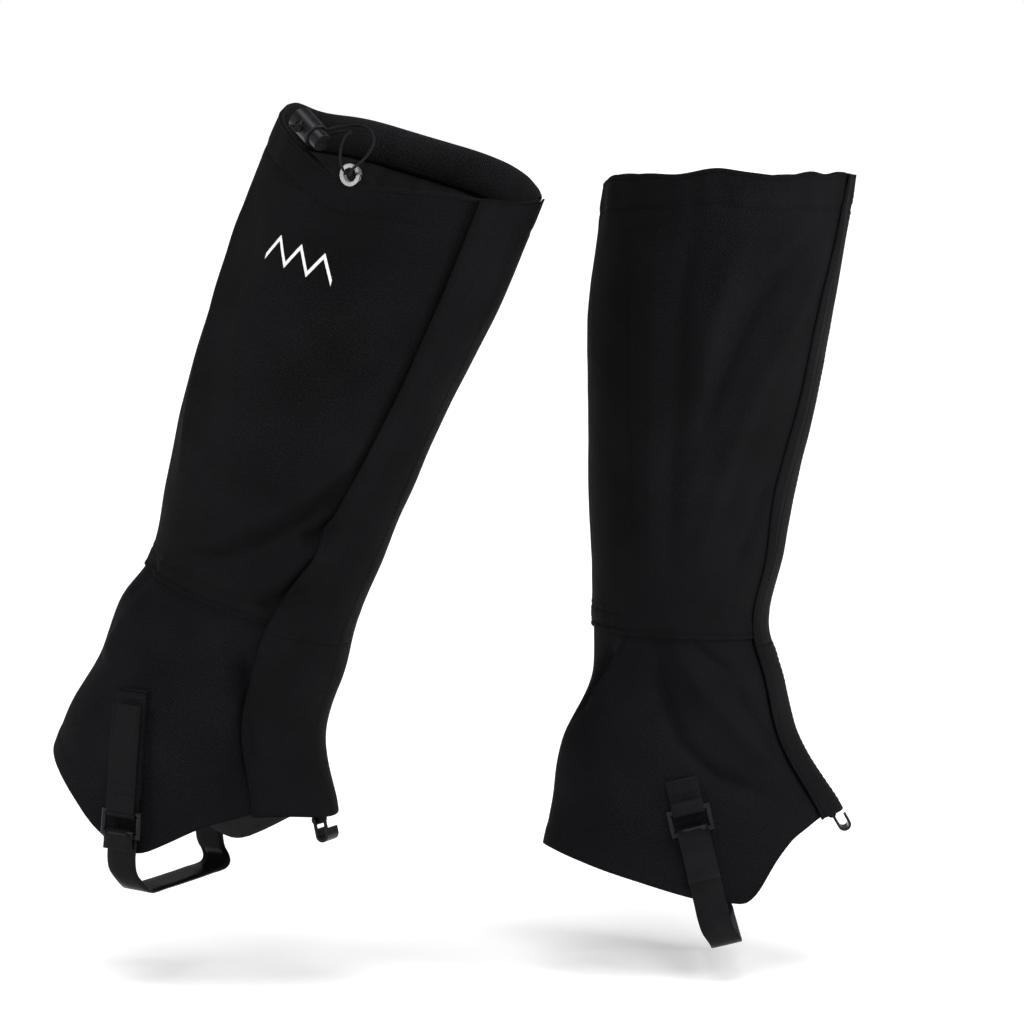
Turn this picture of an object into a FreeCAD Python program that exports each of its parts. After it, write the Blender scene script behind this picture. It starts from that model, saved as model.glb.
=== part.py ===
import FreeCAD, Part
import math
import os

# A pair of knee-high gaiters with an overlapped front, worn over boots.
# Each gaiter is drawn in its own frame, in millimetres: +X to the toe, +Z up the leg, the leg's outer
# side at +Y on the left gaiter and at -Y on the right one, and the origin under the arch of the boot,
# in the middle of the left instep strap's top face. The left gaiter's frame is the part's own frame.

SIZES = {
    # cross-sections of both cloth tubes, from the mouth down: height and half width
    "rim_z": 475.0, "rim_wide": 74.0, "calf_z": 400.0, "calf_wide": 71.0,
    "midcalf_z": 336.0, "midcalf_wide": 67.0, "shin_z": 290.0, "shin_wide": 62.0,
    "neck_z": 190.0, "neck_wide": 53.0, "ankle_z": 163.0, "ankle_wide": 52.0,
    "collar_z": 123.0, "collar_wide": 52.0, "instep_z": 80.0, "instep_wide": 52.0,
    "sole_z": 8.0, "sole_wide": 50.0,
    # centre and half length of the left gaiter's sections
    "left_rim_x": 4.5, "left_rim_long": 77.0, "left_calf_x": -5.5, "left_calf_long": 75.0,
    "left_midcalf_x": -12.0, "left_midcalf_long": 69.5, "left_shin_x": -17.5, "left_shin_long": 64.0,
    "left_neck_x": -25.0, "left_neck_long": 55.5, "left_ankle_x": -21.0, "left_ankle_long": 60.0,
    "left_collar_x": -24.5, "left_collar_long": 74.5, "left_instep_x": -14.5, "left_instep_long": 90.5,
    "left_sole_x": -7.0, "left_sole_long": 112.0,
    # and of the right one, whose bent ankle spreads its cloth
    "right_rim_x": 6.0, "right_rim_long": 83.0, "right_calf_x": -3.0, "right_calf_long": 83.5,
    "right_midcalf_x": -10.5, "right_midcalf_long": 78.5, "right_shin_x": -13.5, "right_shin_long": 75.5,
    "right_neck_x": -17.5, "right_neck_long": 68.0, "right_ankle_x": -22.0, "right_ankle_long": 74.5,
    "right_collar_x": -23.5, "right_collar_long": 77.0, "right_instep_x": -18.5, "right_instep_long": 94.5,
    "right_sole_x": -7.0, "right_sole_long": 112.0,
    # cloth layers
    "cloth": 1.0, "play": 0.1, "lap_low": 188.0, "lap_high": 200.0, "band_margin": 2.0,
    "band_cloth": 0.6, "tape": 0.8, "tape_gap": 0.1,
    "hem_high": 22.0, "hem_deep": 3.6, "hem_wall": 0.8,
    "elastic_radius": 1.0, "elastic_gap": 22.0, "elastic_z": 458.0, "elastic_in": 2.4,
    "bottom_hem_high": 12.0, "seam_tape_half": 6.0, "seam_tape_cloth": 0.4,
    "seam_tape_gap": 2.0,
    # front opening and flap
    "flap_seam_y": 27.0, "flap_edge_y": 41.0, "slit_y": 22.5, "slit_wide": 4.0, "seam_wide": 3.5,
    "seam_gap": 0.5, "band_past_flap": 1.0, "tape_end_gap": 4.0,
    "flap_root_gap": 1.5, "flap_lift": 1.9, "tape_inner_y": 10.0, "tape_outer_y": 35.0,
    "ankle_flap_low": 166.0, "ankle_flap_high": 202.0, "flap_split": 0.5,
    # eyelet
    "eyelet_x": 8.0, "eyelet_z": 467.0, "eyelet_out": 73.95, "eyelet_radius": 6.5, "eyelet_hole": 4.2,
    "eyelet_barrel": 4.7, "flange": 0.8, "washer_gap": 1.4, "washer_in": 0.5,
    # cord and cord lock
    "cord_radius": 0.8, "knot_radius": 3.2, "knot_out": 10.9,
    "lock_radius": 7.5, "lock_long": 18.0, "lock_bore": 5.8, "lock_floor": 2.5, "lock_hole": 3.5,
    "lock_hole_at": 9.5, "plunger_radius": 5.6, "plunger_low": 8.2, "plunger_long": 16.8,
    "plunger_travel": 3.6, "cord_at": 11.3, "spring_radius": 4.2, "spring_wire": 0.35,
    "lock_round": 1.2, "button_round": 1.0, "button_foot_round": 0.3,
    # straps and rings
    "strap_wide": 20.0, "webbing": 1.4, "tpu": 1.8, "ring_bar": 3.0, "ring_in": 21.5, "ring_high": 14.0,
    "ring_out_y": 56.3, "loop_play": 0.4, "arch_radius": 10.0,
    "outer_bar_z": 34.0, "inner_bar_z": 75.0, "outer_fold_z": 25.0, "inner_fold_z": 44.0,
    "webbing_top": 122.0, "webbing_end_top": 115.0, "patch_margin": 2.0, "patch_cloth": 1.9,
    "patch_face_y": 51.0, "inner_tab_top": 108.0, "patch_rise": 8.0, "tab_end": 6.0,
    # lace hook
    "hook_wide": 14.0, "hook_plate": 1.6, "hook_long": 11.0, "hook_bar": 2.5, "hook_slot": 4.0,
    "hook_curl": 2.6, "tab_wide": 10.0, "tab_cloth": 1.1, "tab_loop": 1.8, "tab_high": 22.0,
    "hook_slope": 31.0, "hook_x": 70.8, "hook_z": 76.9, "hook_drop": 1.0, "hook_tip": 4.0,
    "slot_play": 0.4,
}

SECTIONS = ["rim", "calf", "midcalf", "shin", "neck", "ankle", "collar", "instep", "sole"]

# the lower edge in side view, from the heel to the toe
LOWER_EDGE = [(-125, 66), (-109, 62), (-78, 38), (-45, 29), (-20, 18), (-5, 16),
              (13, 23), (32, 49), (56, 77), (75, 81), (110, 81)]

STRAP_TILT = 13.5
SPRING_TURNS = 4
ELASTIC_RUNS = 28
REACH = 160.0     # past the cloth on every side
TALL = 600.0      # past the mouth
PAST = 20.0       # how far a small cutting tool goes past what it cuts

# Where each gaiter stands: the left one carries the part's frame, the right one leans on its toe.
RIGHT_TURN = (FreeCAD.Rotation(FreeCAD.Vector(0, 1, 0), 16.6)
              * FreeCAD.Rotation(FreeCAD.Vector(1, 0, 0), 7.4)
              * FreeCAD.Rotation(FreeCAD.Vector(0, 0, 1), -24.5))
GAITERS = {
    "left": {"side": 1, "place": FreeCAD.Placement(), "strap_x": 0.0, "pose": "hanging"},
    "right": {"side": -1, "place": FreeCAD.Placement(FreeCAD.Vector(-329.6, -36.7, 35.4), RIGHT_TURN),
              "strap_x": -19.0, "pose": "raised"},
}

# The drawcord outside the eyelet. Points are (x, outwards, z). Each strand leaves the eyelet,
# runs through the cord lock and ends in the knot. "centre" is where the strands cross the lock,
# "through" is their direction there, and "barrel" is the lock's own axis, towards its button.
DRAWCORD = {
    "hanging": {
        "centre": (8.0, 84.55, 436.0), "through": (0.0, 0.0, -1.0), "barrel": (1.0, 0.0, 0.0),
        "strand_a": [(6.95, 70.6, 467), (6.95, 79.5, 467), (7.2, 85.3, 462), (8, 85.6, 452.5),
                     (8, 85.6, 427.3)],
        "strand_b": [(9.05, 70.6, 467), (9.05, 77.6, 466.4), (8.8, 82.7, 461), (8, 83.5, 451.5),
                     (8, 83.5, 427.3)],
    },
    "raised": {
        "centre": (-24.0, 76.0, 484.0), "through": (-0.316, 0.949, 0.0), "barrel": (0.898, 0.30, -0.317),
        "strand_a": [(6.95, 70.6, 467), (6.95, 79, 467), (4, 84, 474), (-1, 78, 482), (-6, 66, 487),
                     (-8.5, 54, 487.5), (-14.5, 47, 486), (-20.3, 51.5, 484), (-20.21, 63.55, 483.01),
                     (-27.07, 84.14, 483.01)],
        "strand_b": [(9.05, 70.6, 467), (9.05, 79, 467), (13.5, 84, 473), (18, 80, 481), (15.5, 70, 489),
                     (7, 60, 493), (-4, 51, 493), (-13, 43, 490.5), (-20, 43.5, 487.5),
                     (-20.9, 54, 486.2), (-19.57, 63.77, 484.99), (-26.43, 84.36, 484.99)],
    },
}

doc = FreeCAD.newDocument("Gaiters")
sheet = doc.addObject("Spreadsheet::Sheet", "Sizes")
for row, (alias, value) in enumerate(SIZES.items(), start=1):
    sheet.set("A%d" % row, str(value))
    sheet.setAlias("A%d" % row, alias)
doc.recompute()

nodes = []


def size(alias):
    """One driving dimension, read back from the sheet."""
    return float(sheet.get(alias))


def words(text):
    """An expression whose words that are aliases point at the sheet."""
    for alias in sorted(SIZES, key=len, reverse=True):
        text = text.replace("{%s}" % alias, "Sizes.%s" % alias)
    return text


def add(kind, name, **sizes):
    """A document object whose sizes are bound to expressions."""
    item = doc.addObject(kind, name)
    for key, text in sizes.items():
        item.setExpression(key, words(str(text)))
    return item


def move(item, x="0", y="0", z="0"):
    """Bind an object's place."""
    item.setExpression("Placement.Base.x", words(str(x)))
    item.setExpression("Placement.Base.y", words(str(y)))
    item.setExpression("Placement.Base.z", words(str(z)))
    return item


def box(name, x, y, z, long, wide, high):
    """A block from its lowest corner."""
    return move(add("Part::Box", name, Length=long, Width=wide, Height=high), x, y, z)


def rod(name, radius, high, axis=(0, 0, 1), at=(0, 0, 0)):
    """A cylinder along an axis from a point."""
    item = add("Part::Cylinder", name, Radius=radius, Height=high)
    turn = FreeCAD.Rotation(FreeCAD.Vector(0, 0, 1), FreeCAD.Vector(*axis))
    item.Placement = FreeCAD.Placement(FreeCAD.Vector(*at), turn)
    return item


def cut(name, base, *tools):
    """The base less every tool."""
    for tool in tools:
        item = doc.addObject("Part::Cut", name)
        item.Base = base
        item.Tool = tool
        base = item
    return base


def common(name, *shapes):
    """What all the shapes share."""
    item = doc.addObject("Part::MultiCommon", name)
    item.Shapes = list(shapes)
    return item


def fuse(name, *shapes):
    """All the shapes as one."""
    item = doc.addObject("Part::MultiFuse", name)
    item.Shapes = list(shapes)
    return item


def alone(name, shape):
    """One bound shape as a piece that can be placed as a whole."""
    item = doc.addObject("Part::Compound", name)
    item.Links = [shape]
    return item


def node(item, name, place):
    """Name a sub-part and put it in its place."""
    item.Label = name
    item.Placement = place
    nodes.append(item)
    return item


# ---------------------------------------------------------------- cloth tube

solids = {}


def tube_solid(prefix, offset):
    """One gaiter's solid tube through every section, grown outwards by an expression."""
    if (prefix, offset) in solids:
        return solids[(prefix, offset)]
    rings = []
    for section in SECTIONS:
        ring = add("Part::Ellipse", "%s_ring" % section,
                   MajorRadius="{%s%s_long} + (%s)" % (prefix, section, offset),
                   MinorRadius="{%s_wide} + (%s)" % (section, offset))
        move(ring, "{%s%s_x}" % (prefix, section), "0", "{%s_z}" % section)
        rings.append(ring)
    item = doc.addObject("Part::Loft", "tube")
    item.Sections = rings
    item.Solid = True
    item.Ruled = True
    solids[(prefix, offset)] = item
    return item


layers = {}


def layer(prefix, outer, inner):
    """One gaiter's tube wall between two offsets."""
    key = (prefix, outer, inner)
    if key not in layers:
        layers[key] = cut("wall", tube_solid(prefix, outer), tube_solid(prefix, inner))
    return layers[key]


def edge_zone(name, low, high):
    """The space between the lower edge raised by two amounts, right across the leg."""
    bottom = [FreeCAD.Vector(x, -REACH, z + low) for x, z in LOWER_EDGE]
    top = [FreeCAD.Vector(x, -REACH, z + high) for x, z in reversed(LOWER_EDGE)]
    face = doc.addObject("Part::Feature", name + "_face")
    face.Shape = Part.Face(Part.makePolygon(bottom + top + bottom[:1]))
    item = doc.addObject("Part::Extrusion", name)
    item.Base = face
    item.DirMode = "Custom"
    item.Dir = FreeCAD.Vector(0, 1, 0)
    item.LengthFwd = 2 * REACH
    item.Solid = True
    return item


above_edge = edge_zone("above_edge", 0, TALL)
hem_zone = edge_zone("hem_zone", 0, size("bottom_hem_high"))


def front_strip(name, side, low, high, bottom, top):
    """The part of space in front of the leg between two widths, counted outwards."""
    near = low if side > 0 else "-(%s)" % high
    return box(name, "0", near, bottom, REACH, "(%s) - (%s)" % (high, low), "(%s) - (%s)" % (top, bottom))


def make_shell(prefix, side, place):
    """The two cloth panels, their seams and hems."""
    slit = front_strip("slit", side, "-{slit_y} - {slit_wide}", "-{slit_y}", "0", TALL)
    high = box("high", -REACH, -REACH, "{lap_low}", 2 * REACH, 2 * REACH, TALL)
    low = box("low", -REACH, -REACH, "0", 2 * REACH, 2 * REACH, "{lap_high}")
    hole = rod("hole", "{eyelet_barrel} + {play}", PAST, (0, side, 0),
               (size("eyelet_x"), side * (size("eyelet_out") - PAST / 2), size("eyelet_z")))
    upper = common("upper", layer(prefix, "0", "-{cloth}"), high)
    node(cut("upper_open", upper, slit, hole), prefix + "upper_panel", place)

    lower_outside = "-{cloth} - {play}"
    lower_inside = "-2 * {cloth} - {play}"
    lower = common("lower", layer(prefix, lower_outside, lower_inside), low, above_edge)
    node(cut("lower_open", lower, slit), prefix + "lower_panel", place)

    turned = common("turned", layer(prefix, lower_inside + " - {play}", lower_inside + " - {play} - {hem_wall}"),
                    hem_zone)
    slit_wider = front_strip("slit_wider", side, "-{slit_y} - 2 * {slit_wide}", "-{slit_y} + {slit_wide}",
                             "0", TALL)
    node(cut("turned_open", turned, slit_wider), prefix + "bottom_hem", place)

    band_zone = box("band_zone", -REACH, -REACH, "{lap_low} - {band_margin}", 2 * REACH, 2 * REACH,
                    "{lap_high} - {lap_low} + 2 * {band_margin}")
    band = common("band", layer(prefix, "{play} + {band_cloth}", "{play}"), band_zone)
    band_front = front_strip("band_front", side, "-{flap_seam_y} - {seam_wide} - {play}",
                             "{flap_edge_y} + {band_past_flap}", "0", TALL)
    node(cut("band_open", band, band_front), prefix + "ankle_seam_band", place)

    facing_zone = box("facing_zone", -REACH, -REACH, "{rim_z} - {hem_high}", 2 * REACH, 2 * REACH,
                      "{hem_high} - {play}")
    channel_zone = box("channel_zone", -REACH, -REACH, "{rim_z} - {hem_high} + {hem_wall}",
                       2 * REACH, 2 * REACH, "{hem_high} - 2 * {hem_wall} - {play}")
    facing = common("facing", layer(prefix, "-{cloth} - {play}", "-{cloth} - {hem_deep}"), facing_zone)
    channel = common("channel", layer(prefix, "-{cloth}", "-{cloth} - {hem_deep} + {hem_wall}"), channel_zone)
    node(cut("facing_open", facing, channel, slit), prefix + "top_hem_facing", place)

    node(make_elastic(prefix, side), prefix + "hem_elastic_cord", place)

    tape_zone = box("tape_zone", -REACH, "-{seam_tape_half}", "{lap_high} + {seam_tape_gap}", REACH,
                    "2 * {seam_tape_half}", "{rim_z} - {hem_high} - {lap_high} - 2 * {seam_tape_gap}")
    tape = common("tape", layer(prefix, "-{cloth} - {play}", "-{cloth} - {play} - {seam_tape_cloth}"), tape_zone)
    node(tape, prefix + "back_seam_tape", place)


def round_sweep(name, points, radius):
    """A round tube along straight runs joined by arcs; gives the tube, its length and the arcs' radii."""
    wire, radii = rounded_path(points)
    path = doc.addObject("Part::Feature", name + "_path")
    path.Shape = wire
    first = FreeCAD.Vector(*points[0])
    heading = FreeCAD.Vector(*points[1]) - first
    end = add("Part::Circle", name + "_end", Radius=radius)
    end.Placement = FreeCAD.Placement(first, FreeCAD.Rotation(FreeCAD.Vector(0, 0, 1), heading))
    tube = doc.addObject("Part::Sweep", name + "_tube")
    tube.Sections = [end]
    tube.Spine = (path, ["Edge%d" % (number + 1) for number in range(len(wire.Edges))])
    tube.Solid = True
    return tube, wire.Length, radii


def make_elastic(prefix, side):
    """The shock cord inside the top hem, from one side of the front opening to the other."""
    share = (size("elastic_z") - size("calf_z")) / (size("rim_z") - size("calf_z"))

    def between(alias):
        return size(alias % "calf") + share * (size(alias % "rim") - size(alias % "calf"))

    centre = between(prefix + "%s_x")
    long = between(prefix + "%s_long") - size("elastic_in")
    wide = between("%s_wide") - size("elastic_in")
    span = math.radians(360 - size("elastic_gap"))
    step = span / ELASTIC_RUNS
    angles = [0.0] + [(number + 0.5) * step for number in range(ELASTIC_RUNS)] + [span]
    points = []
    for angle in angles:
        grown = 1 / math.cos(step / 2) if 0 < angle < span else 1
        points.append((centre + grown * long * math.cos(angle), side * grown * wide * math.sin(angle),
                       size("elastic_z")))
    return round_sweep("elastic", points, "{elastic_radius}")[0]


def make_front(prefix, side, place):
    """The flap, its seam and its hook and loop tapes."""
    seam_zone = front_strip("seam_zone", side, "-{flap_seam_y} - {seam_wide}", "-{flap_seam_y} - {seam_gap}",
                            "0", TALL)
    seam = common("seam", layer(prefix, "{flap_lift} + {cloth}", "{play}"), seam_zone, above_edge)
    node(seam, prefix + "flap_seam", place)

    root = "-{flap_seam_y} + {flap_root_gap}"
    spans = {
        "flap_upper": ("{ankle_flap_high} + {flap_split}", "{rim_z}"),
        "flap_ankle": ("{ankle_flap_low}", "{ankle_flap_high}"),
        "flap_lower": ("0", "{ankle_flap_low} - {flap_split}"),
    }
    for name, (bottom, top) in spans.items():
        zone = front_strip(name + "_zone", side, root, "{flap_edge_y}", bottom, top)
        piece = common(name, layer(prefix, "{flap_lift} + {cloth}", "{flap_lift}"), zone, above_edge)
        node(piece, prefix + name, place)

    hook_face = "{flap_lift} - {tape_gap}"
    spans = {
        "loop_upper": ("{tape_gap} + {tape}", "{tape_gap}", "{lap_high} + {tape_end_gap}", "{rim_z} - {tape_end_gap}"),
        "loop_lower": ("-0.5 * {tape}", "-{cloth}", "0", "{lap_low} - {tape_end_gap}"),
        "hook_upper": (hook_face, "{tape} + 2 * {tape_gap}", "{lap_high} + {tape_end_gap}", "{rim_z} - {tape_end_gap}"),
        "hook_lower": (hook_face, "-0.5 * {tape} + {tape_gap}", "0", "{ankle_flap_low} - {tape_end_gap}"),
    }
    tapes = {}
    for name, (outer, inner, bottom, top) in spans.items():
        zone = front_strip(name + "_zone", side, "-{tape_inner_y}", "{tape_outer_y}", bottom, top)
        tapes[name] = common(name, layer(prefix, outer, inner), zone, above_edge)
    node(fuse("loop_tape", tapes["loop_upper"], tapes["loop_lower"]), prefix + "loop_tape", place)
    node(tapes["hook_upper"], prefix + "hook_tape_upper", place)
    node(tapes["hook_lower"], prefix + "hook_tape_lower", place)


# ---------------------------------------------------------------- eyelet, cord and cord lock

def make_eyelet(prefix, side, place):
    """A flanged eyelet through the outer cloth and the washer behind it."""
    outwards = (0, side, 0)
    x, z = size("eyelet_x"), size("eyelet_z")
    face = size("eyelet_out") + size("play")
    depth = size("cloth") + size("washer_gap") + size("play") + 2 * size("flange")
    flange = rod("flange", "{eyelet_radius}", "{flange}", outwards, (x, side * face, z))
    barrel = rod("barrel", "{eyelet_barrel} - {play}", depth, outwards,
                 (x, side * (face - depth + size("flange")), z))
    bore = rod("bore", "{eyelet_hole}", PAST, outwards, (x, side * (face - PAST / 2), z))
    front = cut("eyelet_front", fuse("eyelet_solid", flange, barrel), bore)
    back = face - size("cloth") - size("washer_gap") - size("flange")
    washer = rod("washer", "{eyelet_radius} - {washer_in}", "{flange}", outwards, (x, side * back, z))
    washer_bore = rod("washer_bore", "{eyelet_barrel}", PAST, outwards, (x, side * (back - PAST / 2), z))
    node(fuse("eyelet", front, cut("eyelet_washer", washer, washer_bore)), prefix + "eyelet", place)


def rounded_path(points):
    """Straight runs joined by tangent arcs as large as the runs allow; gives the wire and the radii."""
    points = [FreeCAD.Vector(*point) for point in points]
    edges = []
    radii = []
    start = points[0]
    for before, corner, after in zip(points, points[1:], points[2:]):
        inward = (corner - before).normalize()
        outward = (after - corner).normalize()
        turn = inward.getAngle(outward)
        reach = 0.45 * min((corner - before).Length, (after - corner).Length)
        radii.append(reach / math.tan(turn / 2))
        first = corner - inward * reach
        last = corner + outward * reach
        bisector = (outward - inward).normalize()
        middle_gap = radii[-1] / math.cos(turn / 2) - radii[-1]
        edges.append(Part.LineSegment(start, first).toShape())
        edges.append(Part.Arc(first, corner + bisector * middle_gap, last).toShape())
        start = last
    edges.append(Part.LineSegment(start, points[-1]).toShape())
    return Part.Wire(edges), radii


def make_strand(name, points, place):
    """One strand of the drawcord as a round tube along its route."""
    strand, length, radii = round_sweep(name, points, "{cord_radius}")
    node(strand, name, place)
    print(name, "length %.1f" % length, "radii", [round(radius, 1) for radius in radii])


def make_drawcord(prefix, side, place, pose):
    """Two strands, their knot and the spring cord lock."""
    facts = DRAWCORD[pose]

    def mirrored(point):
        return FreeCAD.Vector(point[0], side * point[1], point[2])

    for strand in ("strand_a", "strand_b"):
        route = [tuple(mirrored(point)) for point in facts[strand]]
        make_strand(prefix + "drawcord_" + strand, route, place)

    centre = mirrored(facts["centre"])
    through = mirrored(facts["through"]).normalize()
    barrel = mirrored(facts["barrel"]).normalize()
    knot = add("Part::Sphere", "knot", Radius="{knot_radius}")
    node(knot, prefix + "drawcord_knot", place)
    knot.Placement = place * FreeCAD.Placement(centre + through * size("knot_out"), FreeCAD.Rotation())

    turn = FreeCAD.Rotation(through, barrel.cross(through), barrel, "ZXY")
    lock_place = place * FreeCAD.Placement(centre - barrel * size("cord_at"), turn)

    casing = rod("casing", "{lock_radius}", "{lock_long}")
    rounded = doc.addObject("Part::Fillet", "casing_round")
    rounded.Base = casing
    rounded.Edges = [(1, size("lock_round"), size("lock_round")), (3, size("lock_round"), size("lock_round"))]
    bore = rod("lock_bore", "{lock_bore}", "{lock_long}", at=(0, 0, size("lock_floor")))
    hole = rod("lock_hole", "{lock_hole}", 2 * PAST, (1, 0, 0), (-PAST, 0, size("lock_hole_at")))
    node(cut("lock_body", rounded, bore, hole), prefix + "cord_lock_body", lock_place)

    slug = rod("slug", "{plunger_radius}", "{plunger_long}", at=(0, 0, size("plunger_low")))
    slug_round = doc.addObject("Part::Fillet", "slug_round")
    slug_round.Base = slug
    slug_round.Edges = [(1, size("button_round"), size("button_round")),
                        (3, size("button_foot_round"), size("button_foot_round"))]
    slug_hole = rod("slug_hole", "{lock_hole}", 2 * PAST, (1, 0, 0),
                    (-PAST, 0, size("lock_hole_at") + size("plunger_travel")))
    node(cut("plunger", slug_round, slug_hole), prefix + "cord_lock_plunger", lock_place)

    low = size("lock_floor") + size("spring_wire") + size("play")
    high = size("plunger_low") - size("spring_wire") - size("play")
    turns = []
    for number in range(SPRING_TURNS):
        turn = add("Part::Torus", "turn", Radius1="{spring_radius}", Radius2="{spring_wire}")
        turn.Placement.Base = FreeCAD.Vector(0, 0, low + (high - low) * number / (SPRING_TURNS - 1))
        turns.append(turn)
    node(fuse("spring", *turns), prefix + "cord_lock_spring", lock_place)


# ---------------------------------------------------------------- straps and rings
# They are drawn in the strap's own plane: X across the strap's width, Z up along it.

def strap_loop(name, side, bar_y, bar_z, thick, upper_half):
    """Half a turn of strap round a ring's bar, above it or below it."""
    inner = "{ring_bar} / 2 + {loop_play}"
    start = (-size("strap_wide") / 2, side * bar_y, bar_z)
    outside = rod(name + "_out", "%s + {%s}" % (inner, thick), "{strap_wide}", (1, 0, 0), start)
    inside = rod(name + "_in", inner, "{strap_wide}", (1, 0, 0), start)
    base = bar_z if upper_half else bar_z - PAST
    half = box(name + "_half", "-{strap_wide}", -REACH, base, "2 * {strap_wide}", 2 * REACH, PAST)
    return cut(name, common(name + "_ring", outside, half), inside)


def strip(name, side, low_y, thick, bottom, top):
    """A flat length of strap; its thickness is counted outwards from low_y."""
    near = low_y if side > 0 else "-(%s) - %s" % (low_y, thick)
    return box(name, "-{strap_wide} / 2", near, bottom, "{strap_wide}", thick, "%s - %s" % (top, bottom))


def make_ring(name, side, bar_z, place):
    """A rectangular ring of rounded bar, drawn about its two bars."""
    bar = "{ring_bar}"
    near = "{ring_out_y} - %s / 2" % bar if side > 0 else "-{ring_out_y} - %s / 2" % bar
    frame = box(name + "_frame", "-{ring_in} / 2 - %s" % bar, near, "%s - %s / 2" % (bar_z, bar),
                "{ring_in} + 2 * %s" % bar, bar, "{ring_high} + %s" % bar)
    window = box(name + "_window", "-{ring_in} / 2", -REACH, "%s + %s / 2" % (bar_z, bar),
                 "{ring_in}", 2 * REACH, "{ring_high} - %s" % bar)
    square = cut(name + "_square", frame, window)
    doc.recompute()
    rounded = doc.addObject("Part::Fillet", name + "_round")
    rounded.Base = square
    radius = 0.42 * size("ring_bar")
    edges = [number for number, edge in enumerate(square.Shape.Edges, start=1)
             if abs(edge.tangentAt(edge.FirstParameter).y) < 0.5]
    rounded.Edges = [(number, radius, radius) for number in edges]
    node(rounded, name, place)


def make_straps(prefix, side, place):
    """The outer webbing, the two rings, the inner tab and the instep strap."""
    bar_y = size("ring_out_y")
    gap = size("ring_bar") / 2 + size("loop_play")
    outer_top = size("outer_bar_z") + size("ring_high")
    inner_top = size("inner_bar_z") + size("ring_high")

    patch = strip("patch", side, "{patch_face_y}", "{patch_cloth}", str(outer_top + size("patch_rise")),
                  "{webbing_top} + {patch_margin}")
    node(alone("anchor", patch), prefix + "outer_strap_anchor", place)
    back = strip("webbing_back", side, str(bar_y - gap - size("webbing")), "{webbing}", str(outer_top),
                 "{webbing_top}")
    turn = strap_loop("webbing_turn", side, bar_y, outer_top, "webbing", False)
    node(fuse("webbing", back, turn), prefix + "outer_webbing", place)
    free = strip("webbing_free", side, str(bar_y + gap), "{webbing}", str(outer_top + size("play")),
                 "{webbing_end_top}")
    node(alone("tail", free), prefix + "outer_webbing_end", place)
    make_ring(prefix + "outer_ring", side, "{outer_bar_z}", place)
    make_ring(prefix + "inner_ring", -side, "{inner_bar_z}", place)

    tab_turn = strap_loop("tab_turn", -side, bar_y, inner_top, "webbing", False)
    tab_back = strip("tab_back", -side, "{patch_face_y}",
                     str(bar_y - gap - size("patch_face_y")), str(inner_top), "{inner_tab_top}")
    tab_front = strip("tab_front", -side, str(bar_y + gap), "{webbing}", str(inner_top),
                      str(inner_top + size("tab_end")))
    node(fuse("tab", tab_turn, tab_back, tab_front), prefix + "inner_tab", place)

    node(fuse("instep", *instep_parts(side, bar_y, gap)), prefix + "instep_strap", place)


def instep_parts(side, bar_y, gap):
    """The plastic strap under the arch: a long U with each end folded round a ring's lower bar."""
    face = bar_y - gap
    thick = size("tpu")
    radius = size("arch_radius")
    arms = [(side, size("outer_bar_z"), size("outer_fold_z")),
            (-side, size("inner_bar_z"), size("inner_fold_z"))]
    parts = []
    for hand, bar_z, fold_z in arms:
        parts.append(strip("arm", hand, str(face - thick), "{tpu}", str(radius), str(bar_z)))
        parts.append(strip("arm_fold", hand, str(bar_y + gap), "{tpu}", str(fold_z), str(bar_z)))
        parts.append(strap_loop("arm_turn", hand, bar_y, bar_z, "tpu", True))
        corner_y = hand * (face - thick - radius)
        start = (-size("strap_wide") / 2, corner_y, radius)
        outside = rod("corner_out", "{arch_radius} + {tpu}", "{strap_wide}", (1, 0, 0), start)
        inside = rod("corner_in", "{arch_radius}", "{strap_wide}", (1, 0, 0), start)
        low = corner_y if hand > 0 else corner_y - PAST
        quarter = box("corner_zone", "-{strap_wide}", low, radius - PAST, "2 * {strap_wide}", PAST, PAST)
        parts.append(cut("corner", common("corner_ring", outside, quarter), inside))
    half = face - thick - radius
    parts.append(box("sole", "-{strap_wide} / 2", -half, "-{tpu}", "{strap_wide}", 2 * half, "{tpu}"))
    return parts


# ---------------------------------------------------------------- lace hook

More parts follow.
